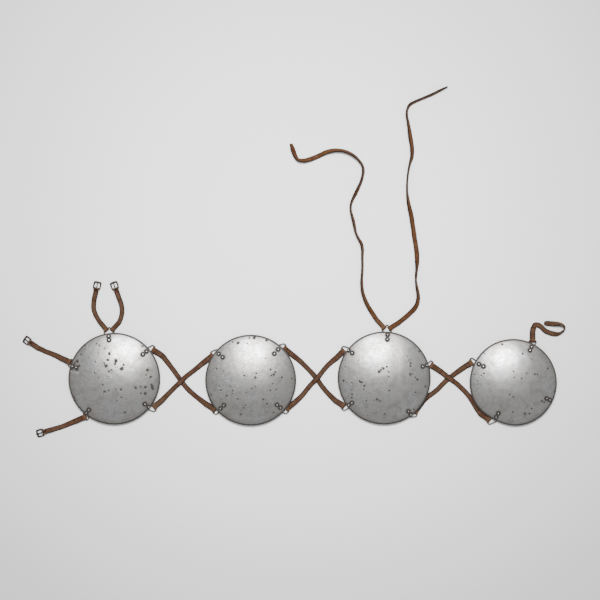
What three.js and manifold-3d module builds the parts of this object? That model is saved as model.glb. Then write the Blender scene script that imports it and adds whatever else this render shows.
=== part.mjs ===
// A mirror cuirass: four round, slightly domed iron plates that are worn over a mail shirt, on the chest,
// the back and the two sides. Crossed leather straps join them edge to edge. Each strap end is folded
// round a bent wire ring, each ring hangs in the eye of a hanger under the rim, and each hanger is held
// by two rivets. Two long ties go over the shoulders to the buckles on top of the first plate, and two
// more buckles close the cuirass on its left side. One strap of the last plate is torn and one is lost.
// It is modelled as it lies, laid out flat on a table. Sizes are in millimetres and +Z is up.

import * as THREE from "three";
import { mergeVertices } from "three/addons/utils/BufferGeometryUtils.js";
import Module from "manifold-3d";

const wasm = await Module();
wasm.setup();

// Clearance between pieces that touch
const GAP = 0.3;

// Plates: domed sheet iron whose rim lies on the folded strap ends
const PLATE_RISE = 20;
const PLATE_WALL = 1.6;
const PLATE_SEGMENTS = 36;
const PLATE_BANDS = 4;

// Hangers: a doubled iron strip under the plate with an eye at its outer end, and its two rivets
const STRIP_LAYER = 1.2;
const STRIP_WIDTH = 6;
const STRIP_BEHIND_RIVET = 4.6;
const STRIP_TO_PLATE = 0.5;
const EYE_WIDTH = 4;
const EYE_INSIDE_RIM = 4;
const EYE_SIDES = 6;
const RIVET_SHANK = 3;
const RIVET_HEAD = 7.4;
const RIVET_HEAD_HEIGHT = 1.8;
const RIVET_HOLE = 3.6;
const RIVET_SIDES = 6;

// Rings: bent iron wire
const RING_WIRE = 2.4;
const RING_BEND = 1.9;
const RING_BASE_REACH = 3.5;
const RING_BASE_FAR_REACH = 4.8;
const RING_BASE_BEND = 0.8;
const RING_REACH_IN = 8.3;
const RING_REACH_OUT = 8;
const RING_DEPTH = 7;
const RING_BEHIND_FOLD = 5.2;
const RING_SIDE = 4.4;
const RING_LEAN_ROOM = 5;
const RING_SIDE_ROOM = 7.5;

// Straps: flat leather, doubled where they fold round a ring or a buckle bar
const LEATHER = 2;
const STRAP_WIDTH = 11;
const STRAP_END_WIDTH = 12.4;
const FLAP_LENGTH = 21;
const FLAP_ON_TOP_LENGTH = 14;
const FOLD_CORNERS = 6;
const FOLD_SLOPE = 0.3;
const RAMP = 6;
const CROSSING_HALF = 8.5;
const STATION_STEP = 13;

// Ties and the torn strap
const TIE_WIDTH = 10.5;
const TIE_STEP = 13;

// Buckles: a wire frame and a bent wire tongue
const FRAME_WIRE = 2.6;
const FRAME_WIDTH = 17.4;
const FRAME_BEND = 2;
const BUCKLE_STRAP_WIDTH = 11.2;
const TONGUE_WIRE = 1.9;
const TONGUE_PAST_FRAME = 2.6;
const TONGUE_HOOK_STEPS = 8;
const SLOT_WIDTH = 4.6;
const SLOT_LENGTH = 8.5;

// Heights that follow from the sizes above
const FOLD_RADIUS = RING_WIRE / 2 + GAP + LEATHER / 2;
const BAR_HEIGHT = LEATHER / 2 + FOLD_RADIUS;
const FOLD_TOP = BAR_HEIGHT + FOLD_RADIUS + LEATHER / 2;
const RIM_HEIGHT = FOLD_TOP + GAP;
const LAYER_STEP = LEATHER + GAP;
const BUCKLE_FOLD_RADIUS = FRAME_WIRE / 2 + GAP + LEATHER / 2;
const BUCKLE_BAR_HEIGHT = LEATHER / 2 + BUCKLE_FOLD_RADIUS;
const EYE_HOLE = RING_WIRE / 2 + GAP;
const EYE_OUTER = EYE_HOLE + STRIP_LAYER;
const EYE_CLEAR = EYE_OUTER / Math.cos(Math.PI / EYE_SIDES) + RING_WIRE / 2 + GAP;

// Plates by name: centre and outer radius. One plate is a little flattened at one place of its rim.
const PLATES = {
  front: { x: 0, y: 0, radius: 100, flatDepth: 0, flatAngle: 0 },
  side_a: { x: 296.2, y: -3.3, radius: 99, flatDepth: 0, flatAngle: 0 },
  back: { x: 586.1, y: 1.5, radius: 101.3, flatDepth: 0, flatAngle: 0 },
  side_b: { x: 866.5, y: -8.4, radius: 95, flatDepth: 4, flatAngle: 243 },
};
const FLAT_SPREAD = 25;

// Fastenings: the angle of the two rivets round the plate, and how far each is from the plate's centre
const FASTENINGS = [
  { name: "front_top", plate: "front", angle: 97.5, inner: 84.8, outer: 92.9 },
  { name: "front_left_upper", plate: "front", angle: 163.5, inner: 85.5, outer: 94.3 },
  { name: "front_left_lower", plate: "front", angle: 231, inner: 86.6, outer: 95.9 },
  { name: "front_right_upper", plate: "front", angle: 40, inner: 81.9, outer: 91.7 },
  { name: "front_right_lower", plate: "front", angle: 320.6, inner: 86.7, outer: 96.8 },
  { name: "side_a_left_upper", plate: "side_a", angle: 140.5, inner: 78.5, outer: 89.9 },
  { name: "side_a_left_lower", plate: "side_a", angle: 223.2, inner: 79, outer: 89.6 },
  { name: "side_a_right_upper", plate: "side_a", angle: 48, inner: 77.5, outer: 89.8 },
  { name: "side_a_right_lower", plate: "side_a", angle: 317.3, inner: 78, outer: 87.7 },
  { name: "back_top", plate: "back", angle: 85.4, inner: 84.1, outer: 94.1 },
  { name: "back_left_upper", plate: "back", angle: 142.2, inner: 88.4, outer: 98.1 },
  { name: "back_left_lower", plate: "back", angle: 217.5, inner: 88.4, outer: 96.8 },
  { name: "back_right_upper", plate: "back", angle: 16.5, inner: 87.3, outer: 96.8 },
  { name: "back_right_lower", plate: "back", angle: 306, inner: 89.2, outer: 98 },
  { name: "side_b_left_upper", plate: "side_b", angle: 152, inner: 74.6, outer: 85 },
  { name: "side_b_left_lower", plate: "side_b", angle: 243.5, inner: 77.5, outer: 87.3 },
  { name: "side_b_right_upper", plate: "side_b", angle: 63, inner: 78.6, outer: 87.1 },
  { name: "side_b_right_lower", plate: "side_b", angle: 334.5, inner: 79.3, outer: 87.5 },
];

// Strap ends at the single rings: the middle of the fold and the way that the strap leaves it
const RING_ENDS = {
  front_left_upper: { x: -97.9, y: 35.9, heading: 154.9 },
  front_left_lower: { x: -64.7, y: -83.5, heading: 203.7 },
  front_right_upper: { x: 82.9, y: 63.2, heading: 327.3 },
  front_right_lower: { x: 86.6, y: -61.1, heading: 40 },
  side_a_left_upper: { x: 212.4, y: 49.8, heading: 218.2 },
  side_a_left_lower: { x: 219.4, y: -68.3, heading: 147.7 },
  side_a_right_upper: { x: 367.8, y: 66.7, heading: 321.3, flapOnTop: true },
  side_a_right_lower: { x: 373.5, y: -66.3, heading: 38.7 },
  back_left_upper: { x: 501.5, y: 63.9, heading: 224.6 },
  back_left_lower: { x: 498.7, y: -59.8, heading: 146.1 },
  back_right_upper: { x: 689.4, y: 28.9, heading: 326.2 },
  back_right_lower: { x: 651.4, y: -74.6, heading: 53.1 },
  side_b_left_upper: { x: 776.6, y: 35.5, heading: 214.1, flapOnTop: true },
  side_b_left_lower: { x: 816.1, y: -90.2, heading: 144.7 },
  side_b_right_upper: { x: 909.2, y: 82.3, heading: 89 },
};

// The two top rings are house-shaped and carry a strap on each sloping side
const TOP_RINGS = {
  front_top: { x: -11.3, y: 112.3, headingLeft: 130.1, headingRight: 48.2 },
  back_top: { x: 593.3, y: 118, headingLeft: 133.1, headingRight: 32.2 },
};
const TOP_FOLD_WIDTH = 10.5;
const TOP_BASE_HALF = 6.6;
const TOP_SPARE = 2.4;

// Crossed straps: the two ring ends, and the places that the strap passes through on the table
const CROSSED_STRAPS = {
  strap_front_side_a_falling: {
    ends: ["front_right_upper", "side_a_left_lower"],
    via: [[113, 38], [129, 17], [144, -4], [155, -18], [170, -33], [185, -45]],
  },
  strap_front_side_a_rising: {
    ends: ["front_right_lower", "side_a_left_upper"],
    over: "strap_front_side_a_falling",
    via: [[117, -33], [135, -15], [155, 4], [173, 18]],
  },
  strap_side_a_back_falling: {
    ends: ["side_a_right_upper", "back_left_lower"],
    via: [[399, 42], [419, 23], [439, 1], [456, -23]],
  },
  strap_side_a_back_rising: {
    ends: ["side_a_right_lower", "back_left_upper"],
    over: "strap_side_a_back_falling",
    via: [[405, -40], [424, -17], [444, 5], [463, 28]],
  },
  strap_back_side_b_rising: {
    ends: ["back_right_lower", "side_b_left_upper"],
    via: [[676, -44], [700, -26], [720, -6], [740, 10]],
  },
  strap_back_side_b_falling: {
    ends: ["back_right_upper", "side_b_left_lower"],
    over: "strap_back_side_b_rising",
    via: [[720, 7], [743, -10], [761, -27], [772, -39.5], [781.5, -55]],
  },
};

// Buckles: the middle of the bar that the strap is folded round, the way the buckle points, and the
// distance from that bar to the far side of the frame
const BUCKLES = {
  top_left: { x: -39.5, y: 195, heading: 78, depth: 15.3 },
  top_right: { x: 2.5, y: 194.8, heading: 110, depth: 15.5 },
  left_upper: { x: -184.5, y: 79, heading: 146.3, depth: 13.8 },
  left_lower: { x: -154.5, y: -116.2, heading: 196.1, depth: 14.8 },
};

// Buckle straps, from the ring to the buckle
const BUCKLE_STRAPS = {
  top_left: { ring: "front_top_left", via: [[-42, 140], [-45.8, 156]] },
  top_right: { ring: "front_top_right", via: [[15.5, 140], [15.5, 157]] },
  left_upper: { ring: "front_left_upper", via: [[-131, 51.5], [-149, 58.5]] },
  left_lower: { ring: "front_left_lower", via: [[-98, -98], [-117, -105.5]] },
};

// Loose straps with one free end: each row is a place on the table, how far the strap leans over from
// lying flat to standing on its edge, in degrees, and how high its low edge is lifted
const LOOSE_STRAPS = {
  shoulder_tie_left: {
    ring: "back_top_left",
    width: TIE_WIDTH,
    path: [
      [552, 157, 58, 0], [541, 182, 67, 0], [537.5, 209, 75, 0], [539, 236, 83, 0], [539, 264, 80, 0],
      [538, 290, 70, 0], [526, 314, 83, 0], [520, 341, 71, 0], [513.5, 367, 84, 0], [515, 382, 82, 0],
      [526, 406, 67, 0], [537, 431, 78, 0], [541, 456, 77, 0], [535, 470, 83, 0], [517, 487, 71, 0],
      [492, 496, 66, 0], [466, 494, 52, 0], [441, 483, 30, 0], [416, 474.5, 49, 0], [401, 475, 70, 0],
      [393, 485, 55, 0], [388, 498, 46, 0], [384, 511, 66, 0],
    ],
  },
  shoulder_tie_right: {
    ring: "back_top_right",
    width: TIE_WIDTH,
    path: [
      [638, 138, 30, 0], [656, 158, 47, 0], [660.5, 178, 64, 0], [657.5, 198, 76, 0], [655.5, 214, 86, 0],
      [657, 238, 76, 0], [658, 252, 56, 0], [657, 277, 20, 0], [653, 303, 37, 0], [649, 330, 48, 0],
      [645, 356, 43, 0], [640, 378, 62, 0], [636.5, 405, 84, 0], [637, 435, 88, 0], [641, 462, 86, 0],
      [646.5, 482, 66, 0], [647, 501, 56, 0], [643, 527, 52, 0], [639, 554, 73, 0], [635.5, 578, 86, 0],
      [641, 594, 78, 0], [663, 606, 86, 0], [687, 616, 82, 0], [711, 628, 86, 0], [723, 634, 88, 0],
    ],
  },
  torn_strap: {
    ring: "side_b_right_upper",
    width: STRAP_WIDTH,
    path: [
      [916, 117, 35, 0], [926, 114, 30, 0], [937, 104, 15, 0], [952, 98, 25, 0], [965, 97, 66, 0],
      [976, 104, 86, 0], [979, 111.5, 86, 0], [973, 117.5, 80, 0], [960, 119, 55, 0], [948, 119.5, 35, 1],
      [934, 121, 12, 2.6],
    ],
  },
};

// Materials
const METALS = {
  plate: { color: 0x8f8e8b, roughness: 0.45, metalness: 0.9 },
  hanger: { color: 0x6d6a66, roughness: 0.5, metalness: 0.9 },
  ring: { color: 0x3a3734, roughness: 0.55, metalness: 0.85 },
  buckle: { color: 0x2f2d2b, roughness: 0.55, metalness: 0.85 },
};
const LEATHERS = {
  strap: { color: 0x6e4630, roughness: 0.7, metalness: 0 },
  tie: { color: 0x5e3b29, roughness: 0.7, metalness: 0 },
};

function radians(degrees) {
  return (degrees * Math.PI) / 180;
}

function direction(degrees) {
  return new THREE.Vector3(Math.cos(radians(degrees)), Math.sin(radians(degrees)), 0);
}

// The horizontal direction to the left of a heading
function leftOf(heading) {
  return new THREE.Vector3(-heading.y, heading.x, 0).normalize();
}

function addMesh(parent, name, geometry, finish) {
  const mesh = new THREE.Mesh(geometry, new THREE.MeshStandardMaterial(finish));
  mesh.name = name;
  parent.add(mesh);
  return mesh;
}

// A closed body through a row of sections that all have the same number of corners
function loft(sections, closed) {
  const corners = sections[0].length;
  const positions = sections.flat().flatMap((point) => [point.x, point.y, point.z]);
  const index = [];
  const spans = closed ? sections.length : sections.length - 1;
  for (let i = 0; i < spans; i += 1) {
    const here = i * corners;
    const next = ((i + 1) % sections.length) * corners;
    for (let j = 0; j < corners; j += 1) {
      const k = (j + 1) % corners;
      index.push(here + j, here + k, next + k, here + j, next + k, next + j);
    }
  }
  if (!closed) {
    const last = (sections.length - 1) * corners;
    for (let j = 1; j < corners - 1; j += 1) {
      index.push(0, j + 1, j);
      index.push(last, last + j, last + j + 1);
    }
  }
  const geometry = new THREE.BufferGeometry();
  geometry.setAttribute("position", new THREE.Float32BufferAttribute(positions, 3));
  geometry.setIndex(signedVolume(positions, index) < 0 ? index.reverse() : index);
  return faceted(geometry);
}

function signedVolume(positions, index) {
  let sum = 0;
  for (let i = 0; i < index.length; i += 3) {
    const a = new THREE.Vector3().fromArray(positions, index[i] * 3);
    const b = new THREE.Vector3().fromArray(positions, index[i + 1] * 3);
    const c = new THREE.Vector3().fromArray(positions, index[i + 2] * 3);
    sum += a.dot(b.cross(c)) / 6;
  }
  return sum;
}

function faceted(geometry) {
  const flat = geometry.index ? geometry.toNonIndexed() : geometry;
  flat.computeVertexNormals();
  return flat;
}

// Joins and cuts work on solids whose shared corners are merged
function solid(geometry) {
  const bare = new THREE.BufferGeometry();
  bare.setAttribute("position", geometry.attributes.position.clone());
  if (geometry.index) {
    bare.setIndex(geometry.index.clone());
  }
  const merged = mergeVertices(bare, 1e-4);
  const corners = merged.index.array;
  const kept = [];
  for (let i = 0; i < corners.length; i += 3) {
    const [a, b, c] = [corners[i], corners[i + 1], corners[i + 2]];
    if (a !== b && b !== c && c !== a) {
      kept.push(a, b, c);
    }
  }
  const vertProperties = Float32Array.from(merged.attributes.position.array);
  const mesh = new wasm.Mesh({ numProp: 3, vertProperties, triVerts: Uint32Array.from(kept) });
  return new wasm.Manifold(mesh);
}

function toGeometry(body) {
  const mesh = body.getMesh();
  const geometry = new THREE.BufferGeometry();
  geometry.setAttribute("position", new THREE.BufferAttribute(Float32Array.from(mesh.vertProperties), 3));
  geometry.setIndex(new THREE.BufferAttribute(Uint32Array.from(mesh.triVerts), 1));
  return faceted(geometry);
}

// The dome of a plate: a point at a depth under its outer face, at a distance from the plate's axis
function domeOf(plate) {
  const sphere = (plate.radius ** 2 + PLATE_RISE ** 2) / (2 * PLATE_RISE);
  const rimAngle = Math.asin(plate.radius / sphere);
  const centre = RIM_HEIGHT - (sphere - PLATE_WALL) * Math.cos(rimAngle);
  return {
    sphere,
    rimAngle,
    centre,
    at: (distance, depth) => {
      const reach = sphere - depth;
      return new THREE.Vector2(distance, centre + Math.sqrt(reach ** 2 - distance ** 2));
    },
    tilt: (distance) => Math.asin(distance / sphere),
  };
}

// The rim of a plate is drawn in a little round its flat place
function rimScale(plate, degrees) {
  const away = ((((degrees - plate.flatAngle) % 360) + 540) % 360) - 180;
  return 1 - (plate.flatDepth / plate.radius) * Math.exp(-((away / FLAT_SPREAD) ** 2));
}

function drawIn(geometry, plate, turned) {
  if (plate.flatDepth > 0) {
    const positions = geometry.attributes.position;
    for (let i = 0; i < positions.count; i += 1) {
      const [x, y] = [positions.getX(i), positions.getY(i)];
      const scale = rimScale(plate, THREE.MathUtils.radToDeg(Math.atan2(y, x)) + turned);
      positions.setXY(i, x * scale, y * scale);
    }
    geometry.computeVertexNormals();
  }
  return geometry;
}

function upright(geometry) {
  return geometry.rotateX(Math.PI / 2);
}

// A plate is turned about its axis, then drilled for its rivets square to its face
function plateGeometry(name, plate) {
  const dome = domeOf(plate);
  const profile = [];
  for (let i = 0; i <= PLATE_BANDS; i += 1) {
    const angle = (dome.rimAngle * i) / PLATE_BANDS;
    const reach = dome.sphere;
    profile.push(new THREE.Vector2(reach * Math.sin(angle), dome.centre + reach * Math.cos(angle)));
  }
  for (let i = PLATE_BANDS; i >= 0; i -= 1) {
    const angle = (dome.rimAngle * i) / PLATE_BANDS;
    const reach = dome.sphere - PLATE_WALL;
    profile.push(new THREE.Vector2(reach * Math.sin(angle), dome.centre + reach * Math.cos(angle)));
  }
  const turned = upright(new THREE.LatheGeometry(profile, PLATE_SEGMENTS));
  let body = outward(turned);
  for (const fastening of FASTENINGS.filter((row) => row.plate === name)) {
    for (const distance of [fastening.inner, fastening.outer]) {
      const drill = upright(new THREE.CylinderGeometry(RIVET_HOLE / 2, RIVET_HOLE / 2, 8, RIVET_SIDES));
      drill.rotateY(dome.tilt(distance));
      const seat = dome.at(distance, 0);
      drill.translate(seat.x, 0, seat.y);
      drill.rotateZ(radians(fastening.angle));
      body = body.subtract(solid(drill));
    }
  }
  return drawIn(toGeometry(body), plate, 0);
}

// A solid whose faces point out, whichever way its profile was turned
function outward(geometry) {
  const merged = mergeVertices(stripped(geometry), 1e-4);
  const index = Array.from(merged.index.array);
  if (signedVolume(merged.attributes.position.array, index) < 0) {
    merged.setIndex(index.reverse());
  }
  return solid(merged);
}

function stripped(geometry) {
  const bare = geometry.clone();
  bare.deleteAttribute("normal");
  bare.deleteAttribute("uv");
  return bare;
}

function roundOutline(radius, sides) {
  const points = [];
  for (let i = 0; i < sides; i += 1) {
    const angle = ((i + 0.5) * 2 * Math.PI) / sides;
    const reach = radius / Math.cos(Math.PI / sides);
    points.push(new THREE.Vector2(reach * Math.cos(angle), reach * Math.sin(angle)));
  }
  return points;
}

// An outline in the upright plane through the rivets, given its width across that plane
function uprightPlate(shape, width) {
  const geometry = new THREE.ExtrudeGeometry(shape, { depth: width, bevelEnabled: false });
  return geometry.translate(0, 0, -width / 2).rotateX(Math.PI / 2);
}

function eyeCentre(plate) {
  const dome = domeOf(plate);
  const depth = PLATE_WALL + STRIP_TO_PLATE + EYE_OUTER;
  return dome.at(plate.radius - EYE_INSIDE_RIM, depth);
}

// A hanger in the upright plane of its rivets: +X runs outwards from the axis of the plate
function hangerGeometry(fastening) {
  const plate = PLATES[fastening.plate];
  const dome = domeOf(plate);
  const eye = eyeCentre(plate);
  const top = PLATE_WALL + STRIP_TO_PLATE;
  const bottom = top + 2 * STRIP_LAYER;
  const start = fastening.inner - STRIP_BEHIND_RIVET;
  const end = eye.x - (EYE_HOLE + EYE_OUTER) / 2;
  const strip = new THREE.Shape([
    dome.at(start, top),
    dome.at(end, top),
    dome.at(end, bottom),
    dome.at(start, bottom),
  ]);
  const neck = new THREE.Shape([
    dome.at(end - 2, top),
    dome.at(eye.x, top),
    dome.at(eye.x, top + STRIP_LAYER * 0.8),
    dome.at(end - 2, top + STRIP_LAYER * 0.8),
  ]);
  const loop = new THREE.Shape(roundOutline(EYE_OUTER, EYE_SIDES).map((point) => point.add(eye)));
  loop.holes.push(new THREE.Path(roundOutline(EYE_HOLE, EYE_SIDES).map((point) => point.add(eye))));
  let body = outward(uprightPlate(strip, STRIP_WIDTH));
  body = body.add(outward(uprightPlate(neck, EYE_WIDTH))).add(outward(uprightPlate(loop, EYE_WIDTH)));
  for (const distance of [fastening.inner, fastening.outer]) {
    const overEye = distance > eye.x - EYE_OUTER - RIVET_SHANK / 2 - GAP;
    const depth = overEye ? top + STRIP_LAYER * 0.7 : bottom - STRIP_LAYER * 0.3;
    for (const piece of rivetPieces(dome, distance, depth)) {
      body = body.add(outward(piece));
    }
  }
  return drawIn(toGeometry(body), plate, fastening.angle);
}

// A rivet square to the face of the plate: its domed head and its shank
function rivetPieces(dome, distance, depth) {
  const profile = [
    new THREE.Vector2(0, GAP),
    new THREE.Vector2(RIVET_HEAD / 2, GAP),
    new THREE.Vector2(RIVET_HEAD * 0.34, GAP + RIVET_HEAD_HEIGHT * 0.75),
    new THREE.Vector2(0, GAP + RIVET_HEAD_HEIGHT),
  ];
  const head = upright(new THREE.LatheGeometry(profile, 8));
  const length = depth + GAP * 2;
  const shank = upright(new THREE.CylinderGeometry(RIVET_SHANK / 2, RIVET_SHANK / 2, length, RIVET_SIDES));
  shank.translate(0, 0, GAP * 2 - length / 2);
  const seat = dome.at(distance, 0);
  return [head, shank].map((piece) => piece.rotateY(dome.tilt(distance)).translate(seat.x, 0, seat.y));
}

// The corners of a closed bent wire, each turned into a short arc of its own radius
function bentCorners(corners, radii) {
  const points = [];
  corners.forEach((corner, i) => {
    const radius = radii[i];
    const before = corners[(i + corners.length - 1) % corners.length];
    const after = corners[(i + 1) % corners.length];
    const inward = before.clone().sub(corner);
    const onward = after.clone().sub(corner);
    const turn = Math.PI - inward.angleTo(onward);
    const longest = radius > RING_BASE_BEND ? Infinity : RING_BASE_REACH - EYE_WIDTH / 2 - RING_WIRE * 0.3;
    const edge = 0.45 * Math.min(inward.length(), onward.length());
    const reach = Math.min(radius * Math.tan(turn / 2), edge, longest);
    if (turn < radians(35)) {
      points.push(corner);
      return;
    }
    const from = corner.clone().addScaledVector(inward.normalize(), reach);
    const to = corner.clone().addScaledVector(onward.normalize(), reach);
    const middle = from.clone().add(to).multiplyScalar(0.25).addScaledVector(corner, 0.5);
    points.push(...(radius > RING_BASE_BEND ? [from, middle, to] : [from, to]));
  });
  return points;
}

// A six-sided wire through a row of points, mitred at each one
function wire(points, radius, closed, up) {
  const sections = points.map((point, i) => {
    const before = points[(i + points.length - 1) % points.length];
    const after = points[(i + 1) % points.length];
    const arriving = point.clone().sub(before).normalize();
    const leaving = after.clone().sub(point).normalize();
    if (!closed && i === 0) {
      arriving.copy(leaving);
    }
    if (!closed && i === points.length - 1) {
      leaving.copy(arriving);
    }
    const along = arriving.clone().add(leaving).normalize();
    const side = along.clone().cross(up).normalize();
    const high = side.clone().cross(along).normalize();
    const mitre = 1 / Math.cos(arriving.angleTo(leaving) / 2);
    return Array.from({ length: 6 }, (_, k) => {
      const angle = (k * Math.PI) / 3;
      return point.clone()
        .addScaledVector(side, radius * mitre * Math.cos(angle))
        .addScaledVector(high, radius * Math.sin(angle));
    });
  });
  return loft(sections, closed);
}

function eyePlace(fastening) {
  const plate = PLATES[fastening.plate];
  const eye = eyeCentre(plate);
  const reach = eye.x * rimScale(plate, fastening.angle);
  const place = direction(fastening.angle).multiplyScalar(reach);
  return place.add(new THREE.Vector3(plate.x, plate.y, eye.y));
}

// The fold of a strap end at a single ring. It keeps clear of the ring's base and of the eye, which lie
// behind it under the rim.
function ringPlan(fastening) {
  const row = RING_ENDS[fastening.name];
  const plate = PLATES[fastening.plate];
  const fold = new THREE.Vector3(row.x, row.y, BAR_HEIGHT);
  const heading = direction(row.heading);
  const outwards = new THREE.Vector3(row.x - plate.x, row.y - plate.y, 0).normalize();
  const bar = leftOf(heading);
  if (bar.dot(outwards) < 0) {
    bar.negate();
  }
  const eye = eyePlace(fastening);
  const base = leftOf(direction(fastening.angle));
  if (base.dot(heading) < 0) {
    base.negate();
  }
  const radial = heading.dot(outwards) > 0.8;
  const near = eye.clone().addScaledVector(base, RING_BASE_REACH);
  const rivetWay = direction(fastening.angle);
  const lean = Math.max(-heading.dot(rivetWay), 0);
  if (!radial) {
    const behind = fold.clone().sub(near).dot(heading);
    fold.addScaledVector(heading, Math.max(RING_BEHIND_FOLD + lean * RING_LEAN_ROOM - behind, 0));
  }
  return { fold, heading, bar, eye, base, near, radial, rivetWay, lean };
}

// A single ring runs through the eye of its hanger, out to the strap's fold and back again
function ringGeometry(fastening) {
  const { fold, heading, bar, eye, base, near, radial, rivetWay, lean } = ringPlan(fastening);
  if (radial) {
    const across = bar.dot(base) < 0 ? bar.clone().negate() : bar;
    const left = fold.clone().addScaledVector(across, RING_REACH_OUT);
    const right = fold.clone().addScaledVector(across, -RING_REACH_OUT);
    const leftBase = Math.max(left.clone().sub(eye).dot(base) - 1, RING_BASE_REACH);
    const rightBase = Math.min(right.clone().sub(eye).dot(base) + 1, -RING_BASE_REACH);
    const leftStart = eye.clone().addScaledVector(base, leftBase);
    const rightStart = eye.clone().addScaledVector(base, rightBase);
    // A side goes straight out past the eye where that keeps clear of the strap's fold
    const sideCorner = (start, end) => {
      const past = start.clone().addScaledVector(rivetWay, EYE_CLEAR);
      const beside = Math.abs(past.clone().sub(fold).dot(across));
      return beside > RING_SIDE_ROOM ? past : end.clone().addScaledVector(heading, -RING_SIDE);
    };
    const corners = [
      rightStart,
      leftStart,
      sideCorner(leftStart, left),
      left,
      right,
      sideCorner(rightStart, right),
    ];
    const bends = [RING_BASE_BEND, RING_BASE_BEND, RING_BASE_BEND, RING_BEND, RING_BEND, RING_BASE_BEND];
    return ringWire(bentCorners(corners, bends));
  }
  const inner = fold.clone().addScaledVector(bar, -RING_REACH_IN);
  const outer = fold.clone().addScaledVector(bar, RING_REACH_OUT);
  const far = eye.clone().addScaledVector(base, -RING_BASE_FAR_REACH);
  const inwards = bar.clone().negate();
  const across = RING_REACH_IN - near.clone().sub(fold).dot(inwards);
  const straightIn = Math.max(-across / rivetWay.dot(inwards), EYE_CLEAR);
  const behindInner = inner.clone().addScaledVector(heading, -RING_BEHIND_FOLD);
  const corners = [
    far,
    near,
    lean > 0 ? near.clone().addScaledVector(rivetWay, -straightIn) : behindInner,
    inner,
    outer,
    outer.clone().addScaledVector(heading, -RING_DEPTH),
    far.clone().addScaledVector(rivetWay, EYE_CLEAR),
  ];
  const base3 = [RING_BASE_BEND, RING_BASE_BEND, RING_BASE_BEND];
  return ringWire(bentCorners(corners, [...base3, RING_BEND, RING_BEND, RING_BEND, RING_BASE_BEND]));
}

function ringWire(points) {
  return wire(points, RING_WIRE / 2, true, new THREE.Vector3(0, 0, 1));
}

// A top ring: its two straps keep clear of each other under the apex
function topRingPlan(name) {
  const ring = TOP_RINGS[name];
  const apex = new THREE.Vector3(ring.x, ring.y, BAR_HEIGHT);
  const left = leftOf(direction(ring.headingLeft));
  const right = leftOf(direction(ring.headingRight)).negate();
  const opening = left.angleTo(right);
  const back = FOLD_RADIUS + LEATHER / 2;
  const start = (back * Math.cos(opening / 2) + GAP) / Math.sin(opening / 2);
  const middle = start + TOP_FOLD_WIDTH / 2;
  const reach = start + TOP_FOLD_WIDTH + TOP_SPARE;
  return {
    apex,
    leftFold: apex.clone().addScaledVector(left, middle),
    rightFold: apex.clone().addScaledVector(right, middle),
    leftCorner: apex.clone().addScaledVector(left, reach),
    rightCorner: apex.clone().addScaledVector(right, reach),
  };
}

function topRingGeometry(fastening) {
  const plan = topRingPlan(fastening.name);
  const eye = eyePlace(fastening);
  const base = leftOf(direction(fastening.angle));
  const corners = [
    plan.apex,
    plan.leftCorner,
    eye.clone().addScaledVector(base, TOP_BASE_HALF),
    eye.clone().addScaledVector(base, -TOP_BASE_HALF),
    plan.rightCorner,
  ];
  const bends = [RING_BEND, RING_BEND, RING_BASE_BEND, RING_BASE_BEND, RING_BEND];
  return ringWire(bentCorners(corners, bends));
}

// Every place where a strap end is folded: at a single ring, at a top ring or at a buckle bar
function strapEnd(name) {
  for (const [ring, row] of Object.entries(TOP_RINGS)) {
    if (name === `${ring}_left` || name === `${ring}_right`) {
      const plan = topRingPlan(ring);
      const isLeft = name.endsWith("left");
      return {
        place: isLeft ? plan.leftFold : plan.rightFold,
        heading: direction(isLeft ? row.headingLeft : row.headingRight),
        barHeight: BAR_HEIGHT,
        foldRadius: FOLD_RADIUS,
        width: TOP_FOLD_WIDTH,
        flapOnTop: false,
      };
    }
  }
  const plan = ringPlan(FASTENINGS.find((row) => row.name === name));
  return {
    place: plan.fold,
    heading: plan.heading,
    barHeight: BAR_HEIGHT,
    foldRadius: FOLD_RADIUS,
    width: STRAP_END_WIDTH,
    flapOnTop: Boolean(RING_ENDS[name].flapOnTop),
  };
}

function buckleEnd(name) {
  const row = BUCKLES[name];
  return {
    place: new THREE.Vector3(row.x, row.y, BUCKLE_BAR_HEIGHT),
    heading: direction(row.heading + 180),
    barHeight: BUCKLE_BAR_HEIGHT,
    foldRadius: BUCKLE_FOLD_RADIUS,
    width: BUCKLE_STRAP_WIDTH,
    flapOnTop: false,
  };
}

// The course of a strap on the table, straight where it leaves a fold
function course(points) {
  const curve = new THREE.CatmullRomCurve3(points, false, "centripetal");
  curve.arcLengthDivisions = 600;
  return curve;
}

function onTable(point) {
  return new THREE.Vector3(point.x, point.y, 0);
}

function leaving(end) {
  const place = onTable(end.place);
  return [place, place.clone().addScaledVector(end.heading, 11), place.clone().addScaledVector(end.heading, 22)];
}

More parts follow.
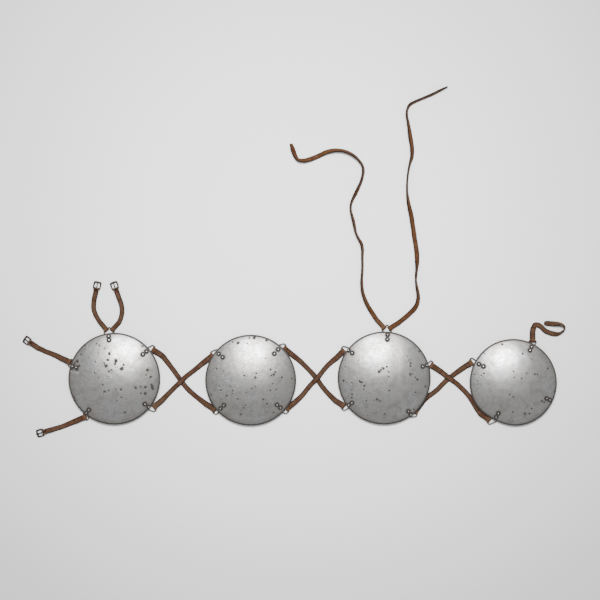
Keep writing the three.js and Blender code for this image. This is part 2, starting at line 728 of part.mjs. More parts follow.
// The folded end of a strap as a row of stations: along (from the bar), height of the middle of the
// leather and width. The row starts at the tip of the flap and ends on the strap itself.
function foldedEnd(end) {
  const slope = Math.atan(FOLD_SLOPE);
  const step = (Math.PI + slope) / FOLD_CORNERS;
  const reach = end.foldRadius / Math.cos(step / 2);
  const corners = [];
  for (let i = 0; i < FOLD_CORNERS; i += 1) {
    const angle = -Math.PI / 2 - step * (i + 0.5);
    corners.push({
      along: reach * Math.cos(angle),
      height: end.barHeight + reach * Math.sin(angle),
      width: end.width,
    });
  }
  const last = corners[corners.length - 1];
  const low = LEATHER / 2;
  const high = low + LAYER_STEP;
  const landing = last.along + (last.height - high) / FOLD_SLOPE;
  if (end.flapOnTop) {
    const tip = FLAP_ON_TOP_LENGTH;
    return [
      { along: tip, height: high, width: end.width * 0.5 },
      { along: tip - 1.3, height: high, width: end.width * 0.84 },
      { along: tip - 3.6, height: high, width: end.width },
      { along: landing, height: high, width: end.width },
      ...corners.reverse(),
    ];
  }
  const tip = FLAP_LENGTH;
  return [
    { along: tip, height: low, width: end.width * 0.6 },
    { along: tip - 1.5, height: low, width: end.width * 0.9 },
    { along: tip - 4, height: low, width: end.width },
    ...corners,
    { along: landing, height: high, width: end.width },
    { along: tip + 0.5, height: high, width: end.width },
    { along: tip + 0.5 + RAMP, height: low, width: end.width },
  ];
}

// Sections of flat leather through the stations, as thick at each bend as along the straights
function leatherSections(stations) {
  return stations.map((station, i) => {
    const before = stations[Math.max(i - 1, 0)].point;
    const after = stations[Math.min(i + 1, stations.length - 1)].point;
    const arriving = i > 0 ? station.point.clone().sub(before).normalize() : null;
    const leavingWay = i < stations.length - 1 ? after.clone().sub(station.point).normalize() : null;
    const along = (arriving || leavingWay).clone().add(leavingWay || arriving).normalize();
    const flat = station.across.clone().addScaledVector(along, -station.across.dot(along)).normalize();
    const normal = along.clone().cross(flat).normalize();
    const lean = radians(station.lean || 0);
    const across = flat.clone().multiplyScalar(Math.cos(lean)).addScaledVector(normal, Math.sin(lean));
    const thick = normal.clone().multiplyScalar(Math.cos(lean)).addScaledVector(flat, -Math.sin(lean));
    let mitre = 1;
    if (arriving && leavingWay) {
      const bend = arriving.clone().sub(leavingWay);
      const turn = arriving.angleTo(leavingWay);
      const share = bend.length() > 1e-6 ? Math.abs(bend.normalize().dot(thick)) : 0;
      mitre = 1 + (1 / Math.cos(turn / 2) - 1) * share;
    }
    const w = station.width / 2;
    const t = (LEATHER / 2) * mitre;
    const corner = (a, b) => station.point.clone().addScaledVector(across, a).addScaledVector(thick, b);
    return [corner(w, t), corner(-w, t), corner(-w, -t), corner(w, -t)];
  });
}

// Puts the stations of a folded end on the course of its strap, from the strap's start or its far end
function placeEnd(stations, curve, length, fromStart) {
  const startPoint = curve.getPointAt(fromStart ? 0 : 1);
  const startWay = curve.getTangentAt(fromStart ? 0 : 1).multiplyScalar(fromStart ? 1 : -1);
  return stations.map((station) => {
    const inside = Math.max(station.along, 0) / length;
    const u = fromStart ? inside : 1 - inside;
    const point = station.along > 0 ? curve.getPointAt(u) : startPoint.clone();
    if (station.along <= 0) {
      point.addScaledVector(startWay, station.along);
    }
    point.z = station.height;
    return { point, across: leftOf(curve.getTangentAt(u)), width: station.width };
  });
}

function widthAt(along, length, ends, middle) {
  const nearest = along < length / 2 ? { away: along, end: ends[0] } : { away: length - along, end: ends[1] };
  const share = THREE.MathUtils.clamp((nearest.away - 26) / 22, 0, 1);
  return THREE.MathUtils.lerp(nearest.end.width, middle, share);
}

// A strap with a fold at each end. Where it passes over another strap, its middle is lifted.
function strapGeometry(curve, ends, crossing) {
  const length = curve.getLength();
  const first = foldedEnd(ends[0]);
  const second = foldedEnd(ends[1]);
  const from = Math.max(first[first.length - 1].along, 0) + 1.5;
  const to = length - Math.max(second[second.length - 1].along, 0) - 1.5;
  const low = LEATHER / 2;
  let marks = [];
  if (crossing !== null) {
    marks = [
      { along: crossing - CROSSING_HALF - RAMP, height: low },
      { along: crossing - CROSSING_HALF, height: low + LAYER_STEP },
      { along: crossing + CROSSING_HALF, height: low + LAYER_STEP },
      { along: crossing + CROSSING_HALF + RAMP, height: low },
    ];
  }
  const steps = Math.round((to - from) / STATION_STEP);
  for (let i = 0; i <= steps; i += 1) {
    const along = from + ((to - from) * i) / steps;
    const raised = crossing !== null && Math.abs(along - crossing) < CROSSING_HALF + RAMP;
    const crowded = marks.some((mark) => Math.abs(mark.along - along) < 3);
    if (!crowded && !raised) {
      marks.push({ along, height: low });
    }
  }
  marks.sort((a, b) => a.along - b.along);
  const middle = marks.map((mark) => {
    const point = curve.getPointAt(mark.along / length);
    point.z = mark.height;
    const across = leftOf(curve.getTangentAt(mark.along / length));
    return { point, across, width: widthAt(mark.along, length, ends, STRAP_WIDTH) };
  });
  const stations = [
    ...placeEnd(first, curve, length, true),
    ...middle,
    ...placeEnd(second, curve, length, false).reverse(),
  ];
  return loft(leatherSections(stations), false);
}

// How far along a strap's course another strap crosses it
function crossingAlong(curve, other) {
  const mine = curve.getSpacedPoints(300);
  const theirs = other.getSpacedPoints(300);
  let best = { gap: Infinity, share: 0 };
  mine.forEach((point, i) => {
    for (const place of theirs) {
      const gap = point.distanceTo(place);
      if (gap < best.gap) {
        best = { gap, share: i / 300 };
      }
    }
  });
  return best.share * curve.getLength();
}

// A strap with a folded end at its ring and a free end: it lies flat, leans or stands on its edge
function looseGeometry(row) {
  const end = strapEnd(row.ring);
  const points = leaving(end);
  const leans = points.map(() => [0, 0]);
  for (const [x, y, lean, lift] of row.path) {
    points.push(new THREE.Vector3(x, y, 0));
    leans.push([lean, lift]);
  }
  const curve = course(points);
  const length = curve.getLength();
  const folded = placeEnd(foldedEnd(end), curve, length, true);
  const from = FLAP_LENGTH + 0.5 + RAMP + 1.5;
  const steps = Math.round((length - from) / (row.ring === "side_b_right_upper" ? TIE_STEP / 2 : TIE_STEP));
  const free = [];
  for (let i = 0; i <= steps; i += 1) {
    const along = from + ((length - from) * i) / steps;
    const u = along / length;
    const t = curve.getUtoTmapping(u) * (points.length - 1);
    const k = Math.min(Math.floor(t), points.length - 2);
    const lean = THREE.MathUtils.lerp(leans[k][0], leans[k + 1][0], t - k);
    const lift = THREE.MathUtils.lerp(leans[k][1], leans[k + 1][1], t - k);
    const width = i === steps ? row.width * 0.6 : THREE.MathUtils.lerp(end.width, row.width, Math.min(i / 3, 1));
    const high = (width / 2) * Math.sin(radians(lean)) + (LEATHER / 2) * Math.cos(radians(lean));
    const point = curve.getPointAt(u);
    point.z = high + lift;
    free.push({ point, across: leftOf(curve.getTangentAt(u)), width, lean });
  }
  return loft(leatherSections([...folded, ...free]), false);
}

// A buckle frame about the middle of its bar: +X points to the far side
function frameGeometry(depth) {
  const half = (FRAME_WIDTH - FRAME_WIRE) / 2;
  const corners = [
    new THREE.Vector3(0, -half, 0),
    new THREE.Vector3(depth, -half, 0),
    new THREE.Vector3(depth, half, 0),
    new THREE.Vector3(0, half, 0),
  ];
  const points = bentCorners(corners, corners.map(() => FRAME_BEND));
  return wire(points, FRAME_WIRE / 2, true, new THREE.Vector3(0, 0, 1));
}

// A tongue about the same bar: it lies on the far side of the frame and hooks round the bar
function tongueGeometry(depth) {
  const reach = FRAME_WIRE / 2 + GAP + TONGUE_WIRE / 2;
  const points = [new THREE.Vector3(depth + TONGUE_PAST_FRAME, 0, reach)];
  for (let i = 0; i <= TONGUE_HOOK_STEPS; i += 1) {
    const angle = Math.PI / 2 + (1.5 * Math.PI * (i + 0.5)) / (TONGUE_HOOK_STEPS + 1);
    const far = reach / Math.cos((0.75 * Math.PI) / (TONGUE_HOOK_STEPS + 1));
    points.push(new THREE.Vector3(far * Math.cos(angle), 0, far * Math.sin(angle)));
  }
  points.push(new THREE.Vector3(reach, 0, -GAP));
  return wire(points, TONGUE_WIRE / 2, false, new THREE.Vector3(0, 1, 0));
}

// Everything is placed on the table about the first plate, then moved so that the origin is at the
// middle of the underside of the whole
const layout = new THREE.Group();

for (const [name, plate] of Object.entries(PLATES)) {
  const group = new THREE.Group();
  group.position.set(plate.x, plate.y, 0);
  addMesh(group, `plate_${name}`, plateGeometry(name, plate), METALS.plate);
  for (const fastening of FASTENINGS.filter((row) => row.plate === name)) {
    const hanger = addMesh(group, `hanger_${fastening.name}`, hangerGeometry(fastening), METALS.hanger);
    hanger.rotation.z = radians(fastening.angle);
  }
  layout.add(group);
}

for (const fastening of FASTENINGS) {
  if (TOP_RINGS[fastening.name]) {
    addMesh(layout, `ring_${fastening.name}`, topRingGeometry(fastening), METALS.ring);
  } else if (RING_ENDS[fastening.name]) {
    addMesh(layout, `ring_${fastening.name}`, ringGeometry(fastening), METALS.ring);
  }
}

const courses = {};
for (const [name, row] of Object.entries(CROSSED_STRAPS)) {
  const ends = row.ends.map(strapEnd);
  const via = row.via.map(([x, y]) => new THREE.Vector3(x, y, 0));
  courses[name] = course([...leaving(ends[0]), ...via, ...leaving(ends[1]).reverse()]);
}
for (const [name, row] of Object.entries(CROSSED_STRAPS)) {
  const crossing = row.over ? crossingAlong(courses[name], courses[row.over]) : null;
  addMesh(layout, name, strapGeometry(courses[name], row.ends.map(strapEnd), crossing), LEATHERS.strap);
}

for (const [name, row] of Object.entries(BUCKLE_STRAPS)) {
  const ends = [strapEnd(row.ring), buckleEnd(name)];
  const via = row.via.map(([x, y]) => new THREE.Vector3(x, y, 0));
  const curve = course([...leaving(ends[0]), ...via, ...leaving(ends[1]).reverse()]);
  const slot = new THREE.BoxGeometry(SLOT_LENGTH + 6, SLOT_WIDTH, 12);
  slot.translate(-SLOT_LENGTH / 2 + 3, 0, BUCKLE_BAR_HEIGHT);
  slot.rotateZ(radians(BUCKLES[name].heading)).translate(BUCKLES[name].x, BUCKLES[name].y, 0);
  const strap = solid(strapGeometry(curve, ends, null)).subtract(solid(slot));
  addMesh(layout, `buckle_strap_${name}`, toGeometry(strap), LEATHERS.strap);
}

for (const [name, row] of Object.entries(BUCKLES)) {
  const place = new THREE.Group();
  place.position.set(row.x, row.y, BUCKLE_BAR_HEIGHT);
  place.rotation.z = radians(row.heading);
  const lying = new THREE.Group();
  lying.rotation.y = Math.asin((BUCKLE_BAR_HEIGHT - FRAME_WIRE / 2) / row.depth);
  addMesh(lying, `buckle_frame_${name}`, frameGeometry(row.depth), METALS.buckle);
  addMesh(lying, `buckle_tongue_${name}`, tongueGeometry(row.depth), METALS.buckle);
  place.add(lying);
  layout.add(place);
}

for (const [name, row] of Object.entries(LOOSE_STRAPS)) {
  addMesh(layout, name, looseGeometry(row), LEATHERS.tie);
}

layout.updateMatrixWorld(true);
const box = new THREE.Box3().setFromObject(layout, true);
const middle = box.getCenter(new THREE.Vector3());
layout.position.set(-middle.x, -middle.y, -box.min.z);

const cuirass = new THREE.Group();
cuirass.add(layout);

export default cuirass;
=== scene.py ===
# %% [markdown]
# A mirror cuirass is armour made of four round, slightly domed iron plates. Crossed leather straps join
# the plates edge to edge, so that they close round the chest over a mail shirt. Here it lies flat on a
# table. The solid model says where everything is. This lesson dresses it: finer plates, round rivet
# heads, smooth wire, and leather that is bent and worn, each with a finish of its own.

# %% Load the solid model
import math
import bmesh
import bpy
from mathutils import Matrix, Vector, kdtree, noise


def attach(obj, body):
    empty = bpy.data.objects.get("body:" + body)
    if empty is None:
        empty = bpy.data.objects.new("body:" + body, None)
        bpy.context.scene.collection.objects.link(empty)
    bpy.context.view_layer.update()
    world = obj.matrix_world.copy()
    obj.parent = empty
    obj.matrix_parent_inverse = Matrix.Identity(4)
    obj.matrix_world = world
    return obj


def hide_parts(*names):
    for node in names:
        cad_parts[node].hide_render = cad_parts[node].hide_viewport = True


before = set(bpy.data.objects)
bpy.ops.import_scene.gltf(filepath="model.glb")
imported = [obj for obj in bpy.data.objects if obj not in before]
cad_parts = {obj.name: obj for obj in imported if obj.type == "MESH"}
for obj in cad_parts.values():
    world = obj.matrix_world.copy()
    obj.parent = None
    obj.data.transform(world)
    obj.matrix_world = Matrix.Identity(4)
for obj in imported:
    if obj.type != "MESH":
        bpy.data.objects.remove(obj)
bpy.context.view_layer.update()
MM = 0.001
ROOT = "cuirass"

# %% [markdown]
# The maker's sizes come first, under names. They are the sizes of the solid model, so that every new
# piece lands where its solid is. The layout was measured from the middle of the first plate, and the
# solid model's origin is under the middle of the whole, so one shift takes a place from one to the other.

# %% Sizes and places of the plates and their rivets
SHIFT = Vector((-389.584, -253.548, 0.215)) * MM
PLATE_RISE = 20 * MM
PLATE_WALL = 1.6 * MM
RIM_HEIGHT = 7.3 * MM
STRIP_TO_PLATE = 0.5 * MM
STRIP_LAYER = 1.2 * MM
EYE_HOLE = 1.5 * MM
EYE_INSIDE_RIM = 4 * MM
RIVET_HEAD = 7.4 * MM
RIVET_HEAD_HEIGHT = 1.9 * MM
FLAT_SPREAD = 25

PLATES = {
    "front": {"x": 0, "y": 0, "radius": 100, "flat": 0, "flat_angle": 0},
    "side_a": {"x": 296.2, "y": -3.3, "radius": 99, "flat": 0, "flat_angle": 0},
    "back": {"x": 586.1, "y": 1.5, "radius": 101.3, "flat": 0, "flat_angle": 0},
    "side_b": {"x": 866.5, "y": -8.4, "radius": 95, "flat": 4, "flat_angle": 243},
}
RIVET_PAIRS = {
    "front_top": ("front", 97.5, 84.8, 92.9),
    "front_left_upper": ("front", 163.5, 85.5, 94.3),
    "front_left_lower": ("front", 231, 86.6, 95.9),
    "front_right_upper": ("front", 40, 81.9, 91.7),
    "front_right_lower": ("front", 320.6, 86.7, 96.8),
    "side_a_left_upper": ("side_a", 140.5, 78.5, 89.9),
    "side_a_left_lower": ("side_a", 223.2, 79, 89.6),
    "side_a_right_upper": ("side_a", 48, 77.5, 89.8),
    "side_a_right_lower": ("side_a", 317.3, 78, 87.7),
    "back_top": ("back", 85.4, 84.1, 94.1),
    "back_left_upper": ("back", 142.2, 88.4, 98.1),
    "back_left_lower": ("back", 217.5, 88.4, 96.8),
    "back_right_upper": ("back", 16.5, 87.3, 96.8),
    "back_right_lower": ("back", 306, 89.2, 98),
    "side_b_left_upper": ("side_b", 152, 74.6, 85),
    "side_b_left_lower": ("side_b", 243.5, 77.5, 87.3),
    "side_b_right_upper": ("side_b", 63, 78.6, 87.1),
    "side_b_right_lower": ("side_b", 334.5, 79.3, 87.5),
}
BUCKLE_BARS = {
    "top_left": (-39.5, 195, 78),
    "top_right": (2.5, 194.8, 110),
    "left_upper": (-184.5, 79, 146.3),
    "left_lower": (-154.5, -116.2, 196.1),
}


def on_table(x, y):
    return Vector((x, y, 0)) * MM + SHIFT


class Dome:
    """The curve of a plate: a slice of a ball, drawn in a little where the rim is flattened."""

    def __init__(self, row):
        self.row = row
        self.radius = row["radius"] * MM
        self.ball = (self.radius ** 2 + PLATE_RISE ** 2) / (2 * PLATE_RISE)
        self.rim_angle = math.asin(self.radius / self.ball)
        self.centre = RIM_HEIGHT - (self.ball - PLATE_WALL) * math.cos(self.rim_angle)
        self.middle = on_table(row["x"], row["y"])

    def height(self, distance, depth=0.0):
        return self.centre + math.sqrt((self.ball - depth) ** 2 - distance ** 2)

    def draw_in(self, degrees):
        away = ((degrees - self.row["flat_angle"]) % 360 + 540) % 360 - 180
        return 1 - self.row["flat"] * MM / self.radius * math.exp(-((away / FLAT_SPREAD) ** 2))

    def place(self, point):
        """From the plate's own place, about its axis, to the table."""
        scale = self.draw_in(math.degrees(math.atan2(point.y, point.x)))
        return self.middle + Vector((point.x * scale, point.y * scale, point.z))


domes = {name: Dome(row) for name, row in PLATES.items()}


def rivet_seat(name, distance):
    plate, angle, _, _ = RIVET_PAIRS[name]
    dome = domes[plate]
    way = math.radians(angle)
    flat = Vector((math.cos(way), math.sin(way), 0)) * distance * MM
    flat.z = dome.height(distance * MM)
    return dome.place(flat)


print(len(PLATES), "plates and", 2 * len(RIVET_PAIRS), "rivets")

# %% [markdown]
# Finishes are built from noise. What more than one finish uses is a node group, with sockets for what
# differs: clouds of tone, rust pits, hairline scratches and the grain of leather. A group only gives
# masks and heights, and the Principled shader stays in each material.

# %% A helper that makes a node, sets it and joins it up
def add_node(tree, kind, settings=None, **sockets):
    made = tree.nodes.new(kind)
    for key, value in (settings or {}).items():
        setattr(made, key, value)
    for key, value in sockets.items():
        numbered = key[0] == "i" and key[1:].isdigit()
        socket = made.inputs[int(key[1:]) if numbered else key]
        if isinstance(value, bpy.types.NodeSocket):
            tree.links.new(value, socket)
        else:
            socket.default_value = value
    return made


def maths(tree, operation, a, b=0.0, clamp=False):
    made = add_node(tree, "ShaderNodeMath", {"operation": operation, "use_clamp": clamp}, i0=a, i1=b)
    return made.outputs[0]


def ramp(tree, value, low, high, to_low=0.0, to_high=1.0):
    made = add_node(tree, "ShaderNodeMapRange", {"interpolation_type": "SMOOTHSTEP"}, Value=value)
    for key, number in (("From Min", low), ("From Max", high), ("To Min", to_low), ("To Max", to_high)):
        if isinstance(number, bpy.types.NodeSocket):
            tree.links.new(number, made.inputs[key])
        else:
            made.inputs[key].default_value = number
    return made.outputs[0]


def mix_colour(tree, share, first, second):
    made = add_node(tree, "ShaderNodeMix", {"data_type": "RGBA", "blend_type": "MIX"})
    for key, value in ((0, share), (6, first), (7, second)):
        if isinstance(value, bpy.types.NodeSocket):
            tree.links.new(value, made.inputs[key])
        else:
            made.inputs[key].default_value = value
    return made.outputs[2]


def noise_value(tree, vector, scale, detail=2.0, roughness=0.5):
    made = add_node(tree, "ShaderNodeTexNoise", None, Vector=vector, Scale=scale, Detail=detail)
    made.inputs["Roughness"].default_value = roughness
    return made.outputs[0]


def new_group(name, inputs, outputs):
    group = bpy.data.node_groups.new(name, "ShaderNodeTree")
    for label, kind, value in inputs:
        socket = group.interface.new_socket(label, in_out="INPUT", socket_type="NodeSocket" + kind)
        if value is not None:
            socket.default_value = value
    for label, kind in outputs:
        group.interface.new_socket(label, in_out="OUTPUT", socket_type="NodeSocket" + kind)
    return group, group.nodes.new("NodeGroupInput"), group.nodes.new("NodeGroupOutput")


def use_group(tree, group, **sockets):
    made = tree.nodes.new("ShaderNodeGroup")
    made.node_tree = group
    for key, value in sockets.items():
        if isinstance(value, bpy.types.NodeSocket):
            tree.links.new(value, made.inputs[key])
        else:
            made.inputs[key].default_value = value
    return made


print("helpers ready")

# %% Clouds of tone, rust pits and hairline scratches
clouds, ends_in, ends_out = new_group(
    "Clouds of tone", [("Vector", "Vector", None), ("Scale", "Float", 30.0)], [("Mask", "Float")])
soft = noise_value(clouds, ends_in.outputs["Vector"], ends_in.outputs["Scale"], 4.0, 0.62)
clouds.links.new(ramp(clouds, soft, 0.32, 0.68), ends_out.inputs["Mask"])

pits, ends_in, ends_out = new_group(
    "Rust pits",
    [("Vector", "Vector", None), ("Scale", "Float", 150.0), ("Amount", "Float", 0.2)],
    [("Mask", "Float"), ("Halo", "Float")])
wobble = add_node(pits, "ShaderNodeTexNoise", None, Vector=ends_in.outputs["Vector"], Scale=420.0, Detail=2.0)
pushed = add_node(pits, "ShaderNodeVectorMath", {"operation": "SCALE"}, i0=wobble.outputs["Color"])
pushed.inputs["Scale"].default_value = 0.0032
moved = add_node(pits, "ShaderNodeVectorMath", None, i0=ends_in.outputs["Vector"], i1=pushed.outputs[0])
cells = add_node(pits, "ShaderNodeTexVoronoi", {"voronoi_dimensions": "2D"}, Vector=moved.outputs[0],
                 Scale=ends_in.outputs["Scale"])
lot = add_node(pits, "ShaderNodeSeparateColor", None, Color=cells.outputs["Color"])
spare = maths(pits, "SUBTRACT", 1.0, ends_in.outputs["Amount"])
over = maths(pits, "SUBTRACT", lot.outputs[0], spare)
size = maths(pits, "MINIMUM", maths(pits, "MULTIPLY", maths(pits, "MAXIMUM", over, 0.0), 1.5), 0.44)
inner = maths(pits, "MULTIPLY", size, 0.55)
mask = ramp(pits, cells.outputs["Distance"], size, inner)
real = ramp(pits, over, 0.0, 0.02)
pits.links.new(maths(pits, "MULTIPLY", mask, real), ends_out.inputs["Mask"])
wide = ramp(pits, cells.outputs["Distance"], maths(pits, "MULTIPLY", size, 1.7), inner)
pits.links.new(maths(pits, "MULTIPLY", wide, real), ends_out.inputs["Halo"])

scratches, ends_in, ends_out = new_group(
    "Hairline scratches",
    [("Vector", "Vector", None), ("Turn", "Float", 0.6), ("Amount", "Float", 0.5)],
    [("Mask", "Float")])
turned = add_node(scratches, "ShaderNodeVectorRotate", {"rotation_type": "Z_AXIS"},
                  Vector=ends_in.outputs["Vector"], Angle=ends_in.outputs["Turn"])
drawn = add_node(scratches, "ShaderNodeVectorMath", {"operation": "MULTIPLY"}, i0=turned.outputs[0])
drawn.inputs[1].default_value = (34.0, 1500.0, 34.0)
line = ramp(scratches, noise_value(scratches, drawn.outputs[0], 1.0, 2.0, 0.5), 0.66, 0.72)
where = ramp(scratches, noise_value(scratches, ends_in.outputs["Vector"], 38.0, 1.0, 0.5), 0.52, 0.62)
kept = maths(scratches, "MULTIPLY", maths(scratches, "MULTIPLY", line, where), ends_in.outputs["Amount"])
scratches.links.new(kept, ends_out.inputs["Mask"])
print("groups:", clouds.name, "/", pits.name, "/", scratches.name)

# %% [markdown]
# Leather needs what iron doesn't: pores, and wrinkles that run across the strap. The wrinkles are noise
# that is drawn out, so each strap carries how far along and how far across it a vertex is.

# %% Grain and wrinkles of leather
grain, ends_in, ends_out = new_group(
    "Leather grain",
    [("Vector", "Vector", None), ("Along", "Float", 0.0), ("Across", "Float", 0.0)],
    [("Grain", "Float"), ("Wrinkle", "Float"), ("Tone", "Float")])
pores = add_node(grain, "ShaderNodeTexVoronoi", {"feature": "F1"}, Vector=ends_in.outputs["Vector"],
                 Scale=1500.0)
fibre = noise_value(grain, ends_in.outputs["Vector"], 2200.0, 3.0, 0.6)
grain.links.new(maths(grain, "ADD", maths(grain, "MULTIPLY", pores.outputs["Distance"], 0.6), fibre),
                ends_out.inputs["Grain"])
along = maths(grain, "MULTIPLY", ends_in.outputs["Along"], 620.0)
across = maths(grain, "MULTIPLY", ends_in.outputs["Across"], 90.0)
strip = add_node(grain, "ShaderNodeCombineXYZ", None, X=along, Y=across)
grain.links.new(ramp(grain, noise_value(grain, strip.outputs[0], 1.0, 3.0, 0.6), 0.56, 0.74),
                ends_out.inputs["Wrinkle"])
grain.links.new(ramp(grain, noise_value(grain, ends_in.outputs["Vector"], 60.0, 4.0, 0.65), 0.3, 0.7),
                ends_out.inputs["Tone"])
print("group:", grain.name)

# %% [markdown]
# The plates are old polished iron. It is grey with warmer and cooler clouds, has fine grain and many
# rust pits, and a dark line runs along the rim and round each rivet, partly rust and partly painted shade
# of the edge and of the foot of each head. The pits lie in patches, so each vertex of a plate carries how
# rusty it is, and the shader only asks for more pits where that is high.

# %% Start a material
def new_material(name):
    material = bpy.data.materials.new(name)
    material.use_nodes = True
    tree = material.node_tree
    return material, tree, tree.nodes["Principled BSDF"]


def place_in(tree):
    return tree.nodes.new("ShaderNodeTexCoord").outputs["Object"]


def attribute(tree, name):
    return add_node(tree, "ShaderNodeAttribute", {"attribute_name": name}).outputs["Fac"]


def bump(tree, shader, height, distance, strength=1.0):
    made = add_node(tree, "ShaderNodeBump", None, Height=height, Distance=distance, Strength=strength)
    tree.links.new(made.outputs[0], shader.inputs["Normal"])


print("material helpers ready")

# %% Polished old iron of the plates
COOL_IRON = (0.325, 0.328, 0.33, 1)
WARM_IRON = (0.265, 0.254, 0.242, 1)
STAIN_IRON = (0.14, 0.128, 0.117, 1)
# The dark colour serves rust and also painted shade, along the rim, round the rivets and on the sides of the
# rivet heads.
RUST_AND_SHADE_DARK = (0.012, 0.009, 0.007, 1)

plate_iron, tree, shader = new_material("Old polished iron")
here = place_in(tree)
rusty = attribute(tree, "rust")
cloud = use_group(tree, clouds, Vector=here, Scale=26.0).outputs[0]
fleck = use_group(tree, clouds, Vector=here, Scale=230.0).outputs[0]
stain = use_group(tree, clouds, Vector=here, Scale=62.0).outputs[0]
ragged = noise_value(tree, here, 430.0, 3.0, 0.65)
big_pits = use_group(tree, pits, Vector=here, Scale=190.0,
                     Amount=ramp(tree, rusty, 0.0, 1.0, 0.014, 0.18))
small_pits = use_group(tree, pits, Vector=here, Scale=420.0,
                       Amount=ramp(tree, rusty, 0.0, 1.0, 0.17, 0.5))
spot = attribute(tree, "spot")
spotted = maths(tree, "ADD", spot, maths(tree, "MULTIPLY", maths(tree, "SUBTRACT", ragged, 0.5), 1.5))
spots = maths(tree, "MULTIPLY", ramp(tree, spotted, 0.34, 0.52), ramp(tree, spot, 0.02, 0.3))
spot_halo = ramp(tree, spot, 0.0, 0.6)
hair_a = use_group(tree, scratches, Vector=here, Turn=0.7, Amount=0.8).outputs[0]
hair_b = use_group(tree, scratches, Vector=here, Turn=-0.35, Amount=0.7).outputs[0]
hairs = maths(tree, "MAXIMUM", hair_a, hair_b)
near_rim = attribute(tree, "rim_distance")
inward = maths(tree, "SUBTRACT", near_rim, maths(tree, "MULTIPLY", ragged, 0.0018))
# Painted shade and rust: a dark line is painted along the rim, for the turned-down edge and its shadow as
# well as the rust there.
rim = ramp(tree, inward, 0.0036, 0.0021)
rim_stain = ramp(tree, near_rim, 0.014, 0.001, 0.0, 0.42)
near_rivet = attribute(tree, "rivet_distance")
beside_rivet = maths(tree, "SUBTRACT", near_rivet, maths(tree, "MULTIPLY", ragged, 0.0022))
# Painted shade and rust: a dark ring is painted round the foot of each rivet head.
rivet_ring_rust_and_shade = ramp(tree, beside_rivet, 0.0058, 0.0038)
ring_stain = ramp(tree, near_rivet, 0.0095, 0.004)
tone = mix_colour(tree, cloud, COOL_IRON, WARM_IRON)
tone = mix_colour(tree, maths(tree, "MULTIPLY", fleck, 0.46), tone, STAIN_IRON)
tone = mix_colour(tree, maths(tree, "MULTIPLY", ramp(tree, stain, 0.5, 1.0), 0.34), tone, STAIN_IRON)
stained = maths(tree, "MAXIMUM", rim_stain, maths(tree, "MULTIPLY", ring_stain, 0.5))
tone = mix_colour(tree, stained, tone, STAIN_IRON)
halo = maths(tree, "MAXIMUM", big_pits.outputs["Halo"], spot_halo)
tone = mix_colour(tree, maths(tree, "MULTIPLY", halo, 0.45), tone, STAIN_IRON)
# The dark mask holds rust pits, rust spots and scratches, and painted shade in the rim line and in the ring
# round each rivet.
dark = maths(tree, "MAXIMUM", maths(tree, "MULTIPLY", big_pits.outputs["Mask"], 0.8),
             maths(tree, "MULTIPLY", small_pits.outputs["Mask"], 0.68))
dark = maths(tree, "MAXIMUM", dark, maths(tree, "MULTIPLY", spots, 0.96))
dark = maths(tree, "MAXIMUM", dark, maths(tree, "MULTIPLY", rivet_ring_rust_and_shade, 0.92))
dark = maths(tree, "MAXIMUM", dark, maths(tree, "MULTIPLY", hairs, 0.45))
dark = maths(tree, "MAXIMUM", dark, maths(tree, "MULTIPLY", rim, 0.95))
tree.links.new(mix_colour(tree, dark, tone, RUST_AND_SHADE_DARK), shader.inputs["Base Color"])
tree.links.new(ramp(tree, dark, 0.0, 1.0, 0.95, 0.25), shader.inputs["Metallic"])
polish = maths(tree, "ADD", ramp(tree, cloud, 0.0, 1.0, 0.30, 0.36), maths(tree, "MULTIPLY", fleck, 0.07))
rough = maths(tree, "ADD", polish, maths(tree, "MULTIPLY", dark, 0.35), True)
tree.links.new(rough, shader.inputs["Roughness"])
relief = maths(tree, "SUBTRACT", maths(tree, "MULTIPLY", fleck, 0.1), maths(tree, "MULTIPLY", dark, 0.8))
bump(tree, shader, relief, 0.00022, 0.7)
print("material:", plate_iron.name)

# %% [markdown]
# The rings, buckles, hangers and rivets share one finish with other colours. It is a function. The sloping
# sides of the rivets' heads are painted dark as shade, so that only their crowns show bright, like a
# highlight.

# %% Dark forged iron of rings, buckles and hangers
def forged_iron(name, base, worn, shine, metal):
    material, tree, shader = new_material(name)
    here = place_in(tree)
    cloud = use_group(tree, clouds, Vector=here, Scale=240.0).outputs[0]
    fine = use_group(tree, clouds, Vector=here, Scale=900.0).outputs[0]
    spots = use_group(tree, pits, Vector=here, Scale=700.0, Amount=0.3).outputs["Mask"]
    tone = mix_colour(tree, cloud, base, worn)
    tone = mix_colour(tree, maths(tree, "MULTIPLY", fine, 0.3), tone, (0.05, 0.03, 0.02, 1))
    # Painted shade on the sloping sides of each rivet head leaves its crown bright. Only the rivets carry the
    # crown share.
    painted_head_shade = ramp(tree, attribute(tree, "crown"), 0.28, 0.5)
    pits_and_painted_head_shade = maths(tree, "MAXIMUM", maths(tree, "MULTIPLY", spots, 0.6), painted_head_shade)
    tree.links.new(mix_colour(tree, pits_and_painted_head_shade, tone, RUST_AND_SHADE_DARK), shader.inputs["Base Color"])
    tree.links.new(ramp(tree, pits_and_painted_head_shade, 0.0, 1.0, metal, 0.2), shader.inputs["Metallic"])
    tree.links.new(ramp(tree, fine, 0.0, 1.0, shine, shine + 0.25), shader.inputs["Roughness"])
    shader.inputs["Specular IOR Level"].default_value = 0.22
    bump(tree, shader, maths(tree, "SUBTRACT", fine, spots), 0.00012, 0.6)
    return material


